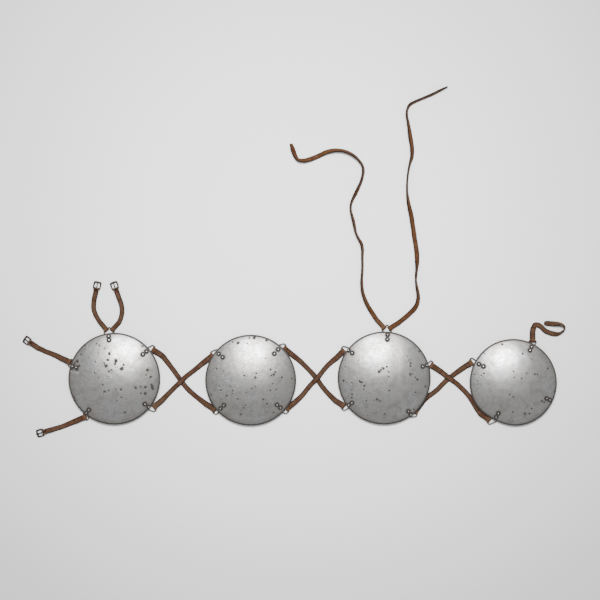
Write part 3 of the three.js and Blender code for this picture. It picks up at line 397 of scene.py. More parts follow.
rivet_iron = forged_iron("Rivet iron", (0.40, 0.395, 0.385, 1), (0.62, 0.61, 0.6, 1), 0.28, 0.95)
ring_iron = forged_iron("Forged ring iron", (0.016, 0.013, 0.011, 1), (0.045, 0.037, 0.031, 1), 0.44, 0.5)
buckle_iron = forged_iron("Forged buckle iron", (0.008, 0.0062, 0.0055, 1), (0.022, 0.018, 0.015, 1),
                          0.46, 0.4)
print("materials:", rivet_iron.name, "/", ring_iron.name, "/", buckle_iron.name)

# %% [markdown]
# The straps and the ties are the same old leather in two browns. Its edges are dark, the crests of its
# folds are painted light as a highlight, and it is hardly glossy.

# %% Old leather of straps and ties
# A lighter brown for the painted highlight on the crests of the folds.
FOLD_HIGHLIGHT_LEATHER = (0.068, 0.033, 0.0155, 1)


def old_leather(name, body, light, olive, edge):
    material, tree, shader = new_material(name)
    here = place_in(tree)
    marks = use_group(tree, grain, Vector=here, Along=attribute(tree, "along"),
                      Across=attribute(tree, "across"))
    age = use_group(tree, clouds, Vector=here, Scale=9.0).outputs[0]
    tone = mix_colour(tree, marks.outputs["Tone"], body, light)
    tone = mix_colour(tree, maths(tree, "MULTIPLY", age, 0.7), tone, olive)
    tone = mix_colour(tree, maths(tree, "MULTIPLY", marks.outputs["Wrinkle"], 0.55), tone, edge)
    border = ramp(tree, maths(tree, "ADD", attribute(tree, "edge"),
                              maths(tree, "MULTIPLY", marks.outputs["Tone"], 0.16)), 0.56, 0.94)
    tone = mix_colour(tree, maths(tree, "MULTIPLY", border, 0.92), tone, edge)
    patchy = ramp(tree, marks.outputs["Tone"], 0.0, 0.7, 0.3, 1.0)
    # Painted highlight: the crests of the folds are mixed toward the lighter brown.
    fold_highlight_share = maths(tree, "MULTIPLY", attribute(tree, "fold_highlight"), patchy)
    tone = mix_colour(tree, fold_highlight_share, tone, FOLD_HIGHLIGHT_LEATHER)
    tree.links.new(tone, shader.inputs["Base Color"])
    tree.links.new(ramp(tree, marks.outputs["Tone"], 0.0, 1.0, 0.8, 0.6), shader.inputs["Roughness"])
    shader.inputs["Specular IOR Level"].default_value = 0.13
    relief = maths(tree, "SUBTRACT", maths(tree, "MULTIPLY", marks.outputs["Grain"], 0.35),
                   maths(tree, "MULTIPLY", marks.outputs["Wrinkle"], 1.0))
    bump(tree, shader, relief, 0.0003, 0.7)
    return material


strap_leather = old_leather("Old strap leather", (0.035, 0.0130, 0.0066, 1), (0.062, 0.0270, 0.0135, 1),
                            (0.041, 0.0210, 0.0095, 1), (0.008, 0.0035, 0.002, 1))
tie_leather = old_leather("Old tie leather", (0.040, 0.012, 0.004, 1), (0.074, 0.028, 0.0085, 1),
                          (0.058, 0.027, 0.007, 1), (0.012, 0.0045, 0.002, 1))
print("materials:", strap_leather.name, "/", tie_leather.name)

# %% [markdown]
# A piece is drawn in a bmesh and then put in an object that sits at the origin, unturned. The solid that
# it stands for is hidden, and the piece rides on the same body.

# %% Finish a piece
def make_piece(name, shape, material, slot, nodes, body=ROOT):
    mesh = bpy.data.meshes.new(name)
    shape.to_mesh(mesh)
    shape.free()
    for face in mesh.polygons:
        face.use_smooth = True
    piece = bpy.data.objects.new(name, mesh)
    bpy.context.scene.collection.objects.link(piece)
    mesh.materials.append(material)
    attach(piece, body)
    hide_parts(*nodes)
    return piece


print("pieces are made by", make_piece.__name__)

# %% [markdown]
# A plate is turned like a bowl: half of its section is drawn and spun round its axis. The real plates
# were hammered by hand, so the skin waves by a few tenths of a millimetre, and the rim isn't quite true.
# Each vertex also gets its distance from the rim and from the nearest rivet, and how rusty it is there.

# %% Turn the plates
# Each rust spot has its x and y from the plate's middle and its reach, in mm, and where it is faint also
# how dark it is. The patches have the same, and a share of rust between the spots.
RUST_SPOTS = {
    "front": [
        (-9, 55, 3.4), (-12, 41, 3.2), (-16, 28.5, 4), (-20, 34, 2.2), (5.5, 39.5, 4), (4, 32.6, 2.6),
        (22, 30.5, 2.6), (18, 22, 4.4), (-4, 19.5, 2.4), (-10, 16, 2.4), (-41, 12.5, 2.2),
        (-33, 19, 3, 0.5), (-32, 2, 2.6, 0.6), (-2, -2, 2.2, 0.6), (8, 10, 1.8, 0.7), (-23, -12, 2.4),
        (-19, -27.6, 3.2), (-10, -25, 2.2), (6, -23, 1.8), (16.5, -23, 3.2), (48, -19, 2.8),
        (58.7, -16.5, 1.8), (69, -18, 3), (83, -17, 3.6), (84.4, -22, 2.6), (81, -12.4, 2.2),
        (68.4, -31.8, 3.6), (59.4, -31, 2), (73, 19, 3), (70, 8.4, 1.8), (80, 4, 3), (17, -40, 2.2),
        (27.6, -44, 1.4), (7.5, -47.7, 1.6), (24.8, -73, 2.4), (-38, 77, 3.2, 0.6), (-20, 66, 1.8),
        (-32, 73, 1.8), (-34, 57, 1.6), (-55, 47, 1.6), (-72, 53, 2.2), (-63, 72, 2.2),
        (-40, 37.4, 1.8), (-75.5, 28.5, 3.2), (-81, 20, 4.2), (-91, 21.5, 3.6), (-80, 38, 4.2),
        (-86.6, 32.6, 3.2), (-85, -47, 2.2), (-86, -40, 1.8), (61.5, 70.7, 2.2), (63, -57, 3, 0.5)],
    "side_a": [
        (-27, 81, 3.6), (-7, 80, 1.8), (8, 93, 3.6), (-2.5, 92, 2.2), (-39, 83, 1.7), (-73.5, 25, 2.2),
        (-58.5, 20, 2), (-13, 10.5, 1.9), (13, 15.6, 2), (11, 6.4, 2.6), (54, 18, 2.2),
        (50.5, 12.6, 2.6), (44, 24, 2.2), (45, 11, 1.7), (68, 7, 2.2), (89.5, 3.6, 2.2),
        (11, -13.4, 3, 0.6), (2.4, -17, 2.6, 0.6), (43, -21.5, 2), (56, -20, 1.7), (-64, -21, 2.2),
        (-68, -13, 1.8), (-43, -13, 1.7), (-38.5, -22, 2.1), (-39, -28, 1.7), (-51, -33, 2.4),
        (-28.5, -40, 2.1), (-9.4, -27, 3.6, 0.5), (28, -41, 2.4), (36, -50, 2.1), (-15, -59, 2.1),
        (-11, -54, 1.6), (-20.5, -74, 3, 0.7), (50, -69.5, 2.1), (-85.5, -32, 2.1), (48, -7, 1.7),
        (32.5, 48, 1.6), (-13, 63, 3, 0.4), (34.5, 87, 3)],
    "back": [
        (-12, 14, 3.2), (-8, 18, 2.6), (-2.7, 21.5, 3), (4.6, 25, 2.3), (9, 14, 1.8), (9, 3.5, 1.7),
        (5.6, -3, 2, 0.6), (-53.5, -7, 2.8), (-49.5, -9, 2.8), (-43.5, -16.6, 2.8), (-44.8, -24, 2),
        (-70.5, -10.7, 2), (-88.5, -5.8, 3.2), (-70.5, -24.5, 1.7), (-70, -35.6, 2.2),
        (-70.5, -42.8, 2.6), (10.2, -26.6, 2.2), (-16, -46, 2.8), (-9.2, -49.4, 2.2), (-39, -48.7, 1.8),
        (56.5, 8.7, 3.1), (61.8, 10, 2.2, 0.6), (67.3, 1.5, 1.8), (71.8, -2.8, 2.7), (57, 32.5, 2.4),
        (56.8, 26.3, 2.2), (53.8, 39, 2.4, 0.6), (50.3, 47.9, 1.5), (89.3, -18.3, 2.2),
        (67.9, -30.7, 2.1), (-85, 24.6, 2.3), (-55.6, 39, 1.7), (-91.5, 37.8, 2.2), (0.5, -77.8, 2.1),
        (-36, -82, 3, 0.5), (-15, -1.5, 2.5, 0.5), (-7, -11, 2.5, 0.5), (12, -15, 2, 0.5),
        (64.8, -68, 2.2), (-62.5, 78, 2.8), (76.6, 57.8, 2.5)],
    "side_b": [
        (19, 63, 1.9), (39, 52, 1.7), (74, 31, 2.2), (27, 21, 1.9), (45, 19, 2.2), (51, 18, 1.9),
        (16, 10, 1.9), (0, 12, 1.7), (-2, 25, 1.7), (-10, -25, 2), (-2, -30, 1.8), (34, -67, 2.2),
        (39, -56, 2), (61, -40, 2.6), (66, -43, 2.2), (-85, 17, 2.2), (-65, 20, 2), (-70, 15, 2),
        (-79, 3, 2), (-24, 83, 2.2), (-63, 64, 2), (-2, -64, 2), (90, -19, 2), (24, -67, 3.4, 0.7)],
}
RUST_PATCHES = [
    ("front", 0, 18, 40, 0.6), ("front", 8, -24, 30, 0.35), ("front", 72, -14, 20, 0.7),
    ("front", -84, 28, 14, 1.0), ("front", -48, 62, 30, 0.5), ("front", -30, -60, 30, 0.25),
    ("side_a", -20, -4, 70, 0.5), ("side_a", 10, -44, 60, 0.4), ("side_a", 50, 18, 18, 0.5),
    ("back", -8, 10, 24, 0.5), ("back", -60, -18, 26, 0.4), ("back", 60, 18, 26, 0.45),
    ("back", -10, -44, 34, 0.3), ("side_b", 20, 24, 34, 0.3), ("side_b", -62, 6, 24, 0.3),
    ("side_b", 56, -46, 22, 0.4), ("side_b", 12, -68, 22, 0.3),
]
UNDER_ROUNDS = 16
TOP_ROUNDS = 92
PLATE_SPOKES = 336
HAMMERING = 0.25 * MM
SPOT_FADE = 1.7
RIVET_RUST_REACH = 12 * MM
RIM_CALM = 12 * MM


def dome_outline(dome):
    """Half of the section, from the middle of the underside round the rim to the middle of the top."""
    inside = [(dome.ball - PLATE_WALL, dome.rim_angle * i / UNDER_ROUNDS) for i in range(UNDER_ROUNDS + 1)]
    top = [(dome.ball, dome.rim_angle * i / TOP_ROUNDS) for i in range(TOP_ROUNDS, -1, -1)]
    rounding = 0.35 * MM / dome.ball
    inside[-1] = (inside[-1][0], dome.rim_angle - rounding)
    top[0] = (top[0][0], dome.rim_angle - rounding)
    edge = [(dome.ball - PLATE_WALL * share, dome.rim_angle) for share in (0.78, 0.22)]
    return [Vector((reach * math.sin(a), 0, dome.centre + reach * math.cos(a)))
            for reach, a in inside + edge + top]


def turn_plate(name):
    dome = domes[name]
    shape = bmesh.new()
    ends = [shape.verts.new(point) for point in dome_outline(dome)]
    edges = [shape.edges.new(pair) for pair in zip(ends, ends[1:])]
    bmesh.ops.spin(shape, geom=ends + edges, cent=(0, 0, 0), axis=(0, 0, 1), angle=2 * math.pi,
                   steps=PLATE_SPOKES, use_merge=True)
    bmesh.ops.remove_doubles(shape, verts=shape.verts, dist=1e-6)
    bmesh.ops.recalc_face_normals(shape, faces=shape.faces)
    from_rim, from_rivet, rust, spot = (
        shape.verts.layers.float.new(label) for label in ("rim_distance", "rivet_distance", "rust", "spot"))
    verts = list(shape.verts)
    for vert in verts:
        vert[from_rim] = dome.radius - vert.co.xy.length
        vert[from_rivet] = 1.0
        vert[rust] = 0.06
        vert.co = dome.place(vert.co)
    tree = kdtree.KDTree(len(verts))
    for i, vert in enumerate(verts):
        tree.insert((vert.co.x, vert.co.y, 0), i)
    tree.balance()
    middle = Vector((dome.middle.x, dome.middle.y, 0))
    for plate, x, y, reach, much in RUST_PATCHES:
        if plate == name:
            for _, i, away in tree.find_range(middle + Vector((x, y, 0)) * MM, 2 * reach * MM):
                verts[i][rust] += much * math.exp(-((away / (reach * MM)) ** 2))
    for x, y, reach, *much in RUST_SPOTS[name]:
        for _, i, away in tree.find_range(middle + Vector((x, y, 0)) * MM, SPOT_FADE * reach * MM):
            share = (1 - away / (SPOT_FADE * reach * MM)) * (much[0] if much else 1)
            verts[i][spot] = max(verts[i][spot], share)
    for pair_name, pair in RIVET_PAIRS.items():
        for distance in pair[2:] if pair[0] == name else ():
            seat = rivet_seat(pair_name, distance)
            for _, i, away in tree.find_range((seat.x, seat.y, 0), RIVET_RUST_REACH):
                verts[i][from_rivet] = min(verts[i][from_rivet], away)
    for vert in verts:
        wave = noise.noise(vert.co * 38) + 0.5 * noise.noise(vert.co * 95)
        vert.co.z += HAMMERING * wave * min(vert[from_rim] / RIM_CALM, 1)
    return make_piece("domed_plate_" + name, shape, plate_iron, "plate_iron", ["plate_" + name])


plates = {name: turn_plate(name) for name in PLATES}
for name, piece in plates.items():
    print(piece.name, len(piece.data.polygons), "faces")

# %% [markdown]
# A hanger is a strip of iron bent double, so that its bend makes an eye for the ring. Two rivets hold it
# under the plate. The strip is a ribbon: a flat grid whose rows are laid along the bend, given a wall by
# the Solidify modifier. The same ribbon makes every strap later.

# %% Lay a ribbon along rows of left and right edge points
def lay_ribbon(rows, columns):
    """A flat grid of leather or iron, laid so that each row of it runs from a left to a right edge."""
    shape = bmesh.new()
    bmesh.ops.create_grid(shape, x_segments=len(rows) - 1, y_segments=columns, size=1)
    run = [0.0]
    for (a, b), (c, d) in zip(rows, rows[1:]):
        run.append(run[-1] + ((a + b) / 2 - (c + d) / 2).length)
    along = shape.verts.layers.float.new("along")
    across = shape.verts.layers.float.new("across")
    edge = shape.verts.layers.float.new("edge")
    cut = shape.loops.layers.uv.new("cut")
    for vert in shape.verts:
        i = round((vert.co.x + 1) / 2 * (len(rows) - 1))
        share = (vert.co.y + 1) / 2
        left, right = rows[i]
        vert[along] = run[i]
        vert[across] = (share - 0.5) * (right - left).length
        vert[edge] = abs(share - 0.5) * 2
        vert.co = left.lerp(right, share)
    for face in shape.faces:
        for loop in face.loops:
            loop[cut].uv = (loop.vert[along], loop.vert[across])
    return shape, run


def give_wall(piece, thickness, rounding, at_folds=None):
    wall = piece.modifiers.new("wall", "SOLIDIFY")
    wall.thickness = thickness
    wall.offset = 0
    wall.use_even_offset = True
    if at_folds:
        wall.vertex_group = "plump"
        wall.thickness_vertex_group = at_folds / thickness
    soften = piece.modifiers.new("soften", "BEVEL")
    soften.width = rounding
    soften.segments = 2
    soften.limit_method = "ANGLE"
    soften.angle_limit = math.radians(50)


print("ribbons are laid by", lay_ribbon.__name__)

# %% [markdown]
# The strip follows the plate's underside, and its bend hangs just inside the rim. Its rivets stand square
# to the dome, so each is turned about its own axis and then tilted to where it sits.

# %% Bend the strip and set its rivets
def strip_line(dome, inner):
    """The middle of the strip from its inner end, round the eye and back, as distance and height."""
    upper = PLATE_WALL + STRIP_TO_PLATE + STRIP_LAYER / 2
    eye_x = dome.radius - EYE_INSIDE_RIM
    eye_z = dome.height(eye_x, PLATE_WALL + STRIP_TO_PLATE + STRIP_LAYER + EYE_HOLE)
    loop = EYE_HOLE + STRIP_LAYER / 2
    start = inner - 4.6 * MM
    steps = [start + (eye_x - 1.5 * MM - start) * i / 8 for i in range(9)]
    line = [(x, dome.height(x, upper)) for x in steps]
    for degrees in range(75, -160, -15):
        a = math.radians(degrees)
        line.append((eye_x + loop * math.cos(a), eye_z + loop * math.sin(a)))
    lower = upper + STRIP_LAYER
    line += [(x, dome.height(x, lower)) for x in reversed(steps[:-2])]
    return line, eye_x


def rivet(shape, dome, distance, peened):
    """A round head on the face of the plate, its shank, and its hammered end under the strip."""
    crown = shape.verts.layers.float.get("crown") or shape.verts.layers.float.new("crown")
    head = [(0.0, RIVET_HEAD_HEIGHT), (0.22, RIVET_HEAD_HEIGHT * 0.96), (0.5, RIVET_HEAD_HEIGHT * 0.8),
            (0.78, RIVET_HEAD_HEIGHT * 0.5), (0.95, RIVET_HEAD_HEIGHT * 0.2), (1.0, -0.05 * MM),
            (0.0, -0.05 * MM)]
    under = PLATE_WALL + STRIP_TO_PLATE + 2 * STRIP_LAYER
    shank = [(0.0, 0.0), (0.4, 0.0), (0.4, -under), (0.0, -under)]
    end = [(0.0, -under + 0.1 * MM), (0.62, -under + 0.1 * MM), (0.5, -under - 0.6 * MM),
           (0.0, -under - 0.8 * MM)]
    tilt = Matrix.Rotation(math.asin(distance / dome.ball), 4, "Y")
    seat = Matrix.Translation(Vector((distance, 0, dome.height(distance))))
    for outline in [head] + ([shank, end] if peened else []):
        drawn = [shape.verts.new((r * RIVET_HEAD / 2, 0, z)) for r, z in outline]
        edges = [shape.edges.new(pair) for pair in zip(drawn, drawn[1:])]
        made = bmesh.ops.spin(shape, geom=drawn + edges, cent=(0, 0, 0), axis=(0, 0, 1),
                              angle=2 * math.pi, steps=20, use_merge=True)
        turned = {v for face in shape.faces if not face.tag for v in face.verts}
        for vert in turned:
            vert[crown] = vert.co.xy.length / (RIVET_HEAD / 2)
        bmesh.ops.transform(shape, matrix=seat @ tilt, verts=list(turned))
        for face in shape.faces:
            face.tag = True


def make_hanger(name):
    plate, angle, inner, outer = RIVET_PAIRS[name]
    dome = domes[plate]
    line, eye_x = strip_line(dome, inner * MM)
    rows = []
    for x, z in line:
        half = (3.0 if x < eye_x - 2.6 * MM else 2.0) * MM
        rows.append((Vector((x, -half, z)), Vector((x, half, z))))
    strip, _ = lay_ribbon(rows, 3)
    turn = Matrix.Rotation(math.radians(angle), 4, "Z")
    rivets = bmesh.new()
    for distance in (inner * MM, outer * MM):
        rivet(rivets, dome, distance, distance < eye_x - 3.5 * MM)
    bmesh.ops.remove_doubles(rivets, verts=rivets.verts, dist=1e-6)
    bmesh.ops.recalc_face_normals(rivets, faces=rivets.faces)
    for shape in (strip, rivets):
        for vert in shape.verts:
            vert.co = dome.place(turn @ vert.co)
    bent = make_piece("hanger_strip_" + name, strip, ring_iron, "hanger_iron", ["hanger_" + name])
    give_wall(bent, 1.15 * MM, 0.15 * MM)
    make_piece("rivets_" + name, rivets, rivet_iron, "hanger_iron", ["hanger_" + name])


for name in RIVET_PAIRS:
    make_hanger(name)
print(len(RIVET_PAIRS), "hangers and their rivets")

# %% [markdown]
# The rings, the buckle frames and the tongues are bent wire. Their solids have six sides, and their
# course is right, so each is copied, its loose triangles are joined into four-sided faces, and a
# subdivision surface rounds it. That draws a six-sided wire in, so it is swollen a little first. The
# frames and tongues are made wider from above than their solids: so thin a wire comes out paler in a
# small render than it does in the photograph.

# %% Round the wires
WIRE_SWELL = 0.13 * MM
WIDEN_INWARDS = 1.7 * MM
WIDEN_OUTWARDS = 0.6 * MM
WIDEN_TONGUE = 0.4 * MM
PAST_LEATHER = 4.2 * MM


def solid_copy(node):
    shape = bmesh.new()
    shape.from_mesh(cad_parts[node].data)
    for layer in list(shape.loops.layers.uv):
        shape.loops.layers.uv.remove(layer)
    bmesh.ops.remove_doubles(shape, verts=shape.verts, dist=1e-6)
    shape.verts.index_update()
    return shape


def round_wire(node, name, material, slot, body=ROOT, bar=None, way=None):
    """A smooth wire. A frame past its leather and a tongue are made wider, but no higher."""
    shape = solid_copy(node)
    bmesh.ops.join_triangles(shape, faces=shape.faces, angle_face_threshold=math.radians(40),
                             angle_shape_threshold=math.radians(60))
    shape.normal_update()
    moves = [(vert, vert.normal * WIRE_SWELL) for vert in shape.verts]
    if way and not bar:
        beside = Vector((-way.y, way.x, 0))
        moves += [(vert, beside * vert.normal.dot(beside) * WIDEN_TONGUE) for vert in shape.verts]
    if bar:
        middle = sum((vert.co for vert in shape.verts), Vector()) / len(shape.verts)
        for vert in shape.verts:
            past = max(0.0, min(1.0, ((vert.co - bar).dot(way) - PAST_LEATHER) / (1.5 * MM)))
            sideways = Vector((vert.normal.x, vert.normal.y, 0))
            widen = WIDEN_OUTWARDS if sideways.dot(vert.co - middle) > 0 else WIDEN_INWARDS
            moves.append((vert, sideways * widen * past))
    for vert, move in moves:
        vert.co += move
    piece = make_piece(name, shape, material, slot, [node], body)
    smooth = piece.modifiers.new("round", "SUBSURF")
    smooth.levels = smooth.render_levels = 2


for node in [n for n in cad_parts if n.startswith("ring_")]:
    round_wire(node, node.replace("ring_", "wire_ring_"), ring_iron, "ring_iron")
for side, (x, y, heading) in BUCKLE_BARS.items():
    way = Vector((math.cos(math.radians(heading)), math.sin(math.radians(heading)), 0))
    round_wire("buckle_frame_" + side, "wire_frame_" + side, buckle_iron, "buckle_iron", "frame_" + side,
               on_table(x, y), way)
    round_wire("buckle_tongue_" + side, "wire_tongue_" + side, buckle_iron, "buckle_iron", "tongue_" + side,
               way=way)
print("wires rounded")

# %% [markdown]
# Each strap is a flat strip of leather. Its solid is a row of four-cornered sections, and walking from
# one section to the next gives the course of its left and right edge, folds and twists included. A smooth
# curve is drawn through them, and a flat grid is laid along it.

# %% Walk along the sections of a strap's solid
def around(corners):
    return {edge.other_vert(v) for v in corners for edge in v.link_edges} - set(corners)


def end_of(shape):
    """The four corners of each end: their only neighbours are the next four corners."""
    ends = []
    for edge in shape.edges:
        corners = {v for face in edge.link_faces for v in face.verts}
        if len(corners) == 4 and len(around(corners)) == 4 and corners not in ends:
            ends.append(corners)
    return ends


def in_order(corners):
    """A set of vertices has no order of its own, so they are sorted, and each run gives the same."""
    return sorted(corners, key=lambda vert: vert.index)


def walk(start):
    rows, seen = [in_order(start)], set(start)
    while True:
        ahead = around(rows[-1]) - seen
        if len(ahead) != 4:
            return rows
        rows.append(in_order(ahead))
        seen |= ahead


def two_edges(corners):
    """The left and right edge of a section: its corners in pairs, a thickness apart."""
    first = corners[0]
    mate = min(corners[1:], key=lambda v: (v.co - first.co).length)
    rest = [v for v in corners if v not in (first, mate)]
    return (first.co + mate.co) / 2, (rest[0].co + rest[1].co) / 2


def strap_rows(node):
    shape = solid_copy(node)
    best = max((walk(end) for end in end_of(shape)), key=len)
    rows = [two_edges(best[0])]
    for corners in best[1:]:
        a, b = two_edges(corners)
        left, right = rows[-1]
        if (a - left).length + (b - right).length > (b - left).length + (a - right).length:
            a, b = b, a
        rows.append((a, b))
    shape.free()
    return rows


leathers = [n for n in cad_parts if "strap" in n or "tie" in n]
courses = {node: strap_rows(node) for node in leathers}
for node, rows in courses.items():
    print(node, len(rows), "sections")

# %% [markdown]
# The sections are far apart, so a curve is drawn through them. Where the leather runs nearly flat its
# height eases from one section to the next, so that it can't dip into the table.

# %% Draw a smooth course through the sections
def between(p0, p1, p2, p3, share):
    """A point of the centripetal Catmull-Rom curve from p1 to p2."""
    t0 = 0.0
    t1 = t0 + max((p1 - p0).length, 1e-6) ** 0.5
    t2 = t1 + max((p2 - p1).length, 1e-6) ** 0.5
    t3 = t2 + max((p3 - p2).length, 1e-6) ** 0.5
    t = t1 + (t2 - t1) * share
    a = p0.lerp(p1, (t - t0) / (t1 - t0))
    b = p1.lerp(p2, (t - t1) / (t2 - t1))
    c = p2.lerp(p3, (t - t2) / (t3 - t2))
    d = a.lerp(b, (t - t0) / (t2 - t0))
    e = b.lerp(c, (t - t1) / (t3 - t1))
    return d.lerp(e, (t - t1) / (t2 - t1))


def smooth_rail(points, counts):
    ends = [points[0] * 2 - points[1], *points, points[-1] * 2 - points[-2]]
    smooth = []
    for i, count in enumerate(counts):
        p0, p1, p2, p3 = ends[i:i + 4]
        gentle = abs(p2.z - p1.z) < 0.6 * (p2.xy - p1.xy).length
        for k in range(count):
            point = between(p0, p1, p2, p3, k / count)
            if gentle:
                share = k / count
                point.z = p1.z + (p2.z - p1.z) * share * share * (3 - 2 * share)
            smooth.append(point)
    return smooth + [points[-1].copy()]


def smooth_course(rows, step=1.6 * MM):
    middles = [(a + b) / 2 for a, b in rows]
    counts = [max(2, round((q - p).length / step)) for p, q in zip(middles, middles[1:])]
    left = smooth_rail([a for a, _ in rows], counts)
    right = smooth_rail([b for _, b in rows], counts)
    return list(zip(left, right))


print("courses are smoothed by", smooth_course.__name__)

# %% [markdown]
# Old straps aren't cut or worn evenly. Their width wavers, and their edges are thin and dark. Where the
# leather is folded round a ring, its crest is painted light as a highlight, worked out from the height of
# the fold. The ties and the torn strap are also plumper and lean more than their solids, because leather
# that stands on its edge comes out paler in a small render than it does in the photograph.

# %% Lay the straps
LEATHER = 2 * MM
PLUMP_LEATHER = 2.9 * MM
LOOSE_FROM = 60 * MM
LEAN_MORE = 2.1 * MM
FOLD_SECTIONS = 12
FOLD_CREST = 4.4 * MM
FOLD_TURN = math.radians(12)
FOLD_STEP = 2.5 * MM
LOOSE_LEATHER = ("shoulder_tie_left", "shoulder_tie_right", "torn_strap")


def paint_fold_highlights(shape, run, lit_ends):
    """The crests of the folds are painted light, a painted highlight on their tops."""
    fold_highlight = shape.verts.layers.float.new("fold_highlight")
    along = shape.verts.layers.float["along"]
    for vert in shape.verts:
        # Painted highlight: the higher the crest of a fold, the lighter it is painted.
        crest = max(0.0, min(1.0, (vert.co.z - FOLD_CREST) / (1.6 * MM)))
        near = any(abs(vert[along] - spot) < 9 * MM for spot in lit_ends)
        vert[fold_highlight] = crest * 0.8 if near else 0.0


def waver(shape, node):
    seed = Vector((len(node) * 3.1, sum(map(ord, node)) * 0.17, 0))
    along = shape.verts.layers.float["along"]
    across = shape.verts.layers.float["across"]
    edge = shape.verts.layers.float["edge"]
    for vert in shape.verts:
        run_on = Vector((vert[along] * 90, 1 if vert[across] > 0 else -1, 0)) + seed
        sideways = noise.noise(run_on) * 0.3 * MM * vert[edge]
        vert.co.x += sideways
        vert.co.y += sideways * 0.6


def fold_places(rows):
    """How far along the leather each fold's crest is: where it turns back over itself."""
    run, places = 0.0, []
    for i in range(1, len(rows) - 1):
        before = (rows[i][0] + rows[i][1]) / 2 - (rows[i - 1][0] + rows[i - 1][1]) / 2
        after = (rows[i + 1][0] + rows[i + 1][1]) / 2 - (rows[i][0] + rows[i][1]) / 2
        run += before.length
        turns = before.length and after.length and before.angle(after, 0) > FOLD_TURN
        if turns and before.length < FOLD_STEP:
            places.append(run)
    return places


def lean(left, right):
    """The section of loose leather, leaning a little more than its solid, so that it is wider in plan."""
    if left.z < right.z:
        return tuple(reversed(lean(right, left)))
    flat = (left - right).xy.length
    width = (left - right).length
    wider = min(flat + LEAN_MORE, width)
    move = (left - right).xy.normalized() * (wider - flat) / 2
    drop = left.z - right.z - math.sqrt(width ** 2 - wider ** 2)
    low = Vector((-move.x, -move.y, 0.06 * (wider - flat)))
    return left + Vector((move.x, move.y, -drop)), right + low


def lay_strap(node, rows, material, slot, cut_slot=None):
    if node in LOOSE_LEATHER:
        rows = [lean(*row) if i > FOLD_SECTIONS else row for i, row in enumerate(rows)]
    course = smooth_course(rows)
    shape, run = lay_ribbon(course, 10)
    if cut_slot:
        middles = [f for f in shape.faces if cut_slot(f.calc_center_median())]
        bmesh.ops.delete(shape, geom=middles, context="FACES")
    waver(shape, node)
    paint_fold_highlights(shape, run, fold_places(course))
    free = []
    if node in LOOSE_LEATHER:
        along = shape.verts.layers.float["along"]
        for vert in shape.verts:
            far = max(0.0, min(1.0, (vert[along] - LOOSE_FROM) / (10 * MM)))
            if far:
                i = min(range(len(run)), key=lambda k: abs(run[k] - vert[along]))
                flat = (course[i][1] - course[i][0]).xy.length / (course[i][1] - course[i][0]).length
                vert.co.z += (PLUMP_LEATHER - LEATHER) / 2 * flat
                free.append((vert.index, far))
    piece = make_piece("leather_" + node, shape, material, slot, [node])
    if free:
        plump = piece.vertex_groups.new(name="plump")
        for index, far in free:
            plump.add([index], far, "REPLACE")
        give_wall(piece, PLUMP_LEATHER, 0.4 * MM, LEATHER)
    else:
        give_wall(piece, LEATHER, 0.35 * MM)


# %% [markdown]
# The floor comes before the straps, because they rest on it. It is a pale table top, painted darker
# outwards as shade where the lamp's light falls off.

# %% Table top
table = bmesh.new()
bmesh.ops.create_grid(table, x_segments=1, y_segments=1, size=14)
mesh = bpy.data.meshes.new("table_top")
table.to_mesh(mesh)
table.free()
table_top = bpy.data.objects.new("table_top", mesh)
bpy.context.scene.collection.objects.link(table_top)
table_paint, tree, shader = new_material("Pale table with painted falloff")
# Painted shade: the table grows darker with distance from its middle, for the falloff of the lamp's light.
outwards = add_node(tree, "ShaderNodeVectorMath", {"operation": "LENGTH"}, i0=place_in(tree))
tree.links.new(mix_colour(tree, ramp(tree, outwards.outputs["Value"], 0.05, 1.15),
                          (0.87, 0.87, 0.87, 1), (0.42, 0.42, 0.415, 1)), shader.inputs["Base Color"])
shader.inputs["Roughness"].default_value = 0.9
shader.inputs["Specular IOR Level"].default_value = 0.1
table_top.data.materials.append(table_paint)
print("table top", table_top.name)

# %% [markdown]
# Now every strap but the four with buckles can be laid, each along its own course.

# %% The crossed straps, the ties and the torn strap
for node, rows in courses.items():
    if node.startswith("buckle_strap"):
        continue
    tie = "tie" in node
    lay_strap(node, rows, tie_leather if tie else strap_leather, "tie_leather" if tie else "strap_leather")

# %% [markdown]
# A buckle strap has a slot for the tongue where it folds round the buckle's bar. The walk along its solid
# stops at the slot, so the fold is drawn from the bar: an arc about it, and a flap that comes back under
# the strap. The slot is opened by deleting the faces in it before the leather gets its wall.

# %% Fold the leather round the buckle bars
BAR_HEIGHT = 3.6 * MM
BAR_FOLD = 2.75 * MM
FOLD_LIFT = 0.15 * MM
BUCKLE_STRAP_WIDTH = 11.2 * MM
FLAP = 21 * MM
SLOT_HALF = 2.35 * MM
SLOT_REACH = 5.5 * MM
FLAP_SLOT_REACH = 2.5 * MM
FOLD_SLOPE = 0.3
COURSE_END = 16 * MM


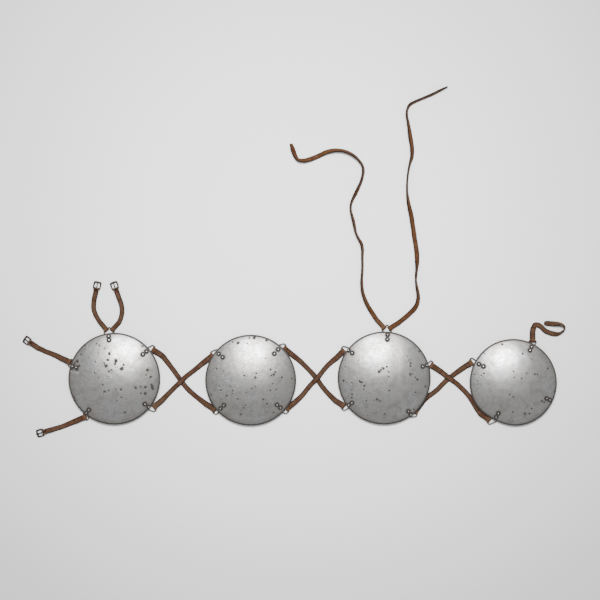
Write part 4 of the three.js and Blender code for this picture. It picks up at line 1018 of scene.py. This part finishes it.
def bar_fold(side):
    """Rows from the upper layer, round the bar, to the tip of the flap underneath."""
    x, y, heading = BUCKLE_BARS[side]
    way = Vector((math.cos(math.radians(heading)), math.sin(math.radians(heading)), 0))
    beside = Vector((-way.y, way.x, 0))
    bar = on_table(x, y)
    upper = LEATHER / 2 + 2.3 * MM
    turn = math.pi + math.atan(FOLD_SLOPE)
    arc = []
    for i in range(11):
        a = math.pi / 2 - math.atan(FOLD_SLOPE) - turn * i / 10
        arc.append((BAR_FOLD * math.cos(a), BAR_HEIGHT + FOLD_LIFT + BAR_FOLD * math.sin(a), 1.0))
    first_x, first_z, _ = arc[0]
    landing = first_x - (first_z - upper) / FOLD_SLOPE
    line = [(landing, upper, 1.0), *arc, (-FLAP + 4 * MM, LEATHER / 2, 1.0),
            (-FLAP + 1.5 * MM, LEATHER / 2, 0.9), (-FLAP, LEATHER / 2, 0.6)]
    rows = []
    for ahead, height, share in line:
        middle = bar + way * ahead
        middle.z += height
        half = beside * BUCKLE_STRAP_WIDTH / 2 * share
        rows.append((middle + half, middle - half))
    return rows, bar, way, beside


def in_slot(bar, way, beside):
    def test(point):
        flat = point - bar
        reach = SLOT_REACH if flat.z > BAR_HEIGHT else FLAP_SLOT_REACH
        return -reach < flat.dot(way) and abs(flat.dot(beside)) < SLOT_HALF
    return test


for side in BUCKLE_BARS:
    node = "buckle_strap_" + side
    fold, bar, way, beside = bar_fold(side)
    rows = [row for row in courses[node] if ((row[0] + row[1]) / 2 - bar).dot(way) < -COURSE_END]
    left = rows[-1][0]
    if (fold[0][0] - left).length > (fold[0][1] - left).length:
        fold = [(b, a) for a, b in fold]
    lay_strap(node, rows + fold, strap_leather, "strap_leather", in_slot(bar, way, beside))

# %% [markdown]
# The photograph was taken from straight above with a long lens, in the soft light of one broad lamp
# beyond the top of the picture, in a pale room. The plates show that lamp as a wide bright spot in their
# upper half. The room's light comes from the world, and the lamp adds the spot and the soft shadows.

# %% Camera, lamp and room
VIEW_WIDTH = 1.302
CAMERA_HEIGHT = 3.75
camera_data = bpy.data.cameras.new("camera")
camera_data.sensor_width = 36
camera_data.lens = 36 * (CAMERA_HEIGHT - 0.012) / VIEW_WIDTH
camera = bpy.data.objects.new("camera", camera_data)
camera.location = (0.0138, -0.0827, CAMERA_HEIGHT)
bpy.context.scene.collection.objects.link(camera)
bpy.context.scene.camera = camera

LAMP_PLACE = Vector((-0.03, 1.5, 3.6))
LAMP_TARGET = Vector((0.0, -0.1, 0.0))
lamp_data = bpy.data.lights.new("broad_lamp", "AREA")
lamp_data.shape = "RECTANGLE"
lamp_data.size = 1.5
lamp_data.size_y = 1.1
lamp_data.energy = 372
lamp = bpy.data.objects.new("broad_lamp", lamp_data)
lamp.location = LAMP_PLACE
lamp.rotation_euler = (LAMP_PLACE - LAMP_TARGET).to_track_quat("Z", "Y").to_euler()
bpy.context.scene.collection.objects.link(lamp)

room = bpy.data.worlds.new("pale_room")
room.use_nodes = True
room.node_tree.nodes["Background"].inputs["Color"].default_value = (0.98, 0.99, 1.0, 1)
room.node_tree.nodes["Background"].inputs["Strength"].default_value = 0.84
bpy.context.scene.world = room
print("camera at", tuple(camera.location), "lens", round(camera_data.lens, 1))

# %% Finish
bpy.context.view_layer.update()
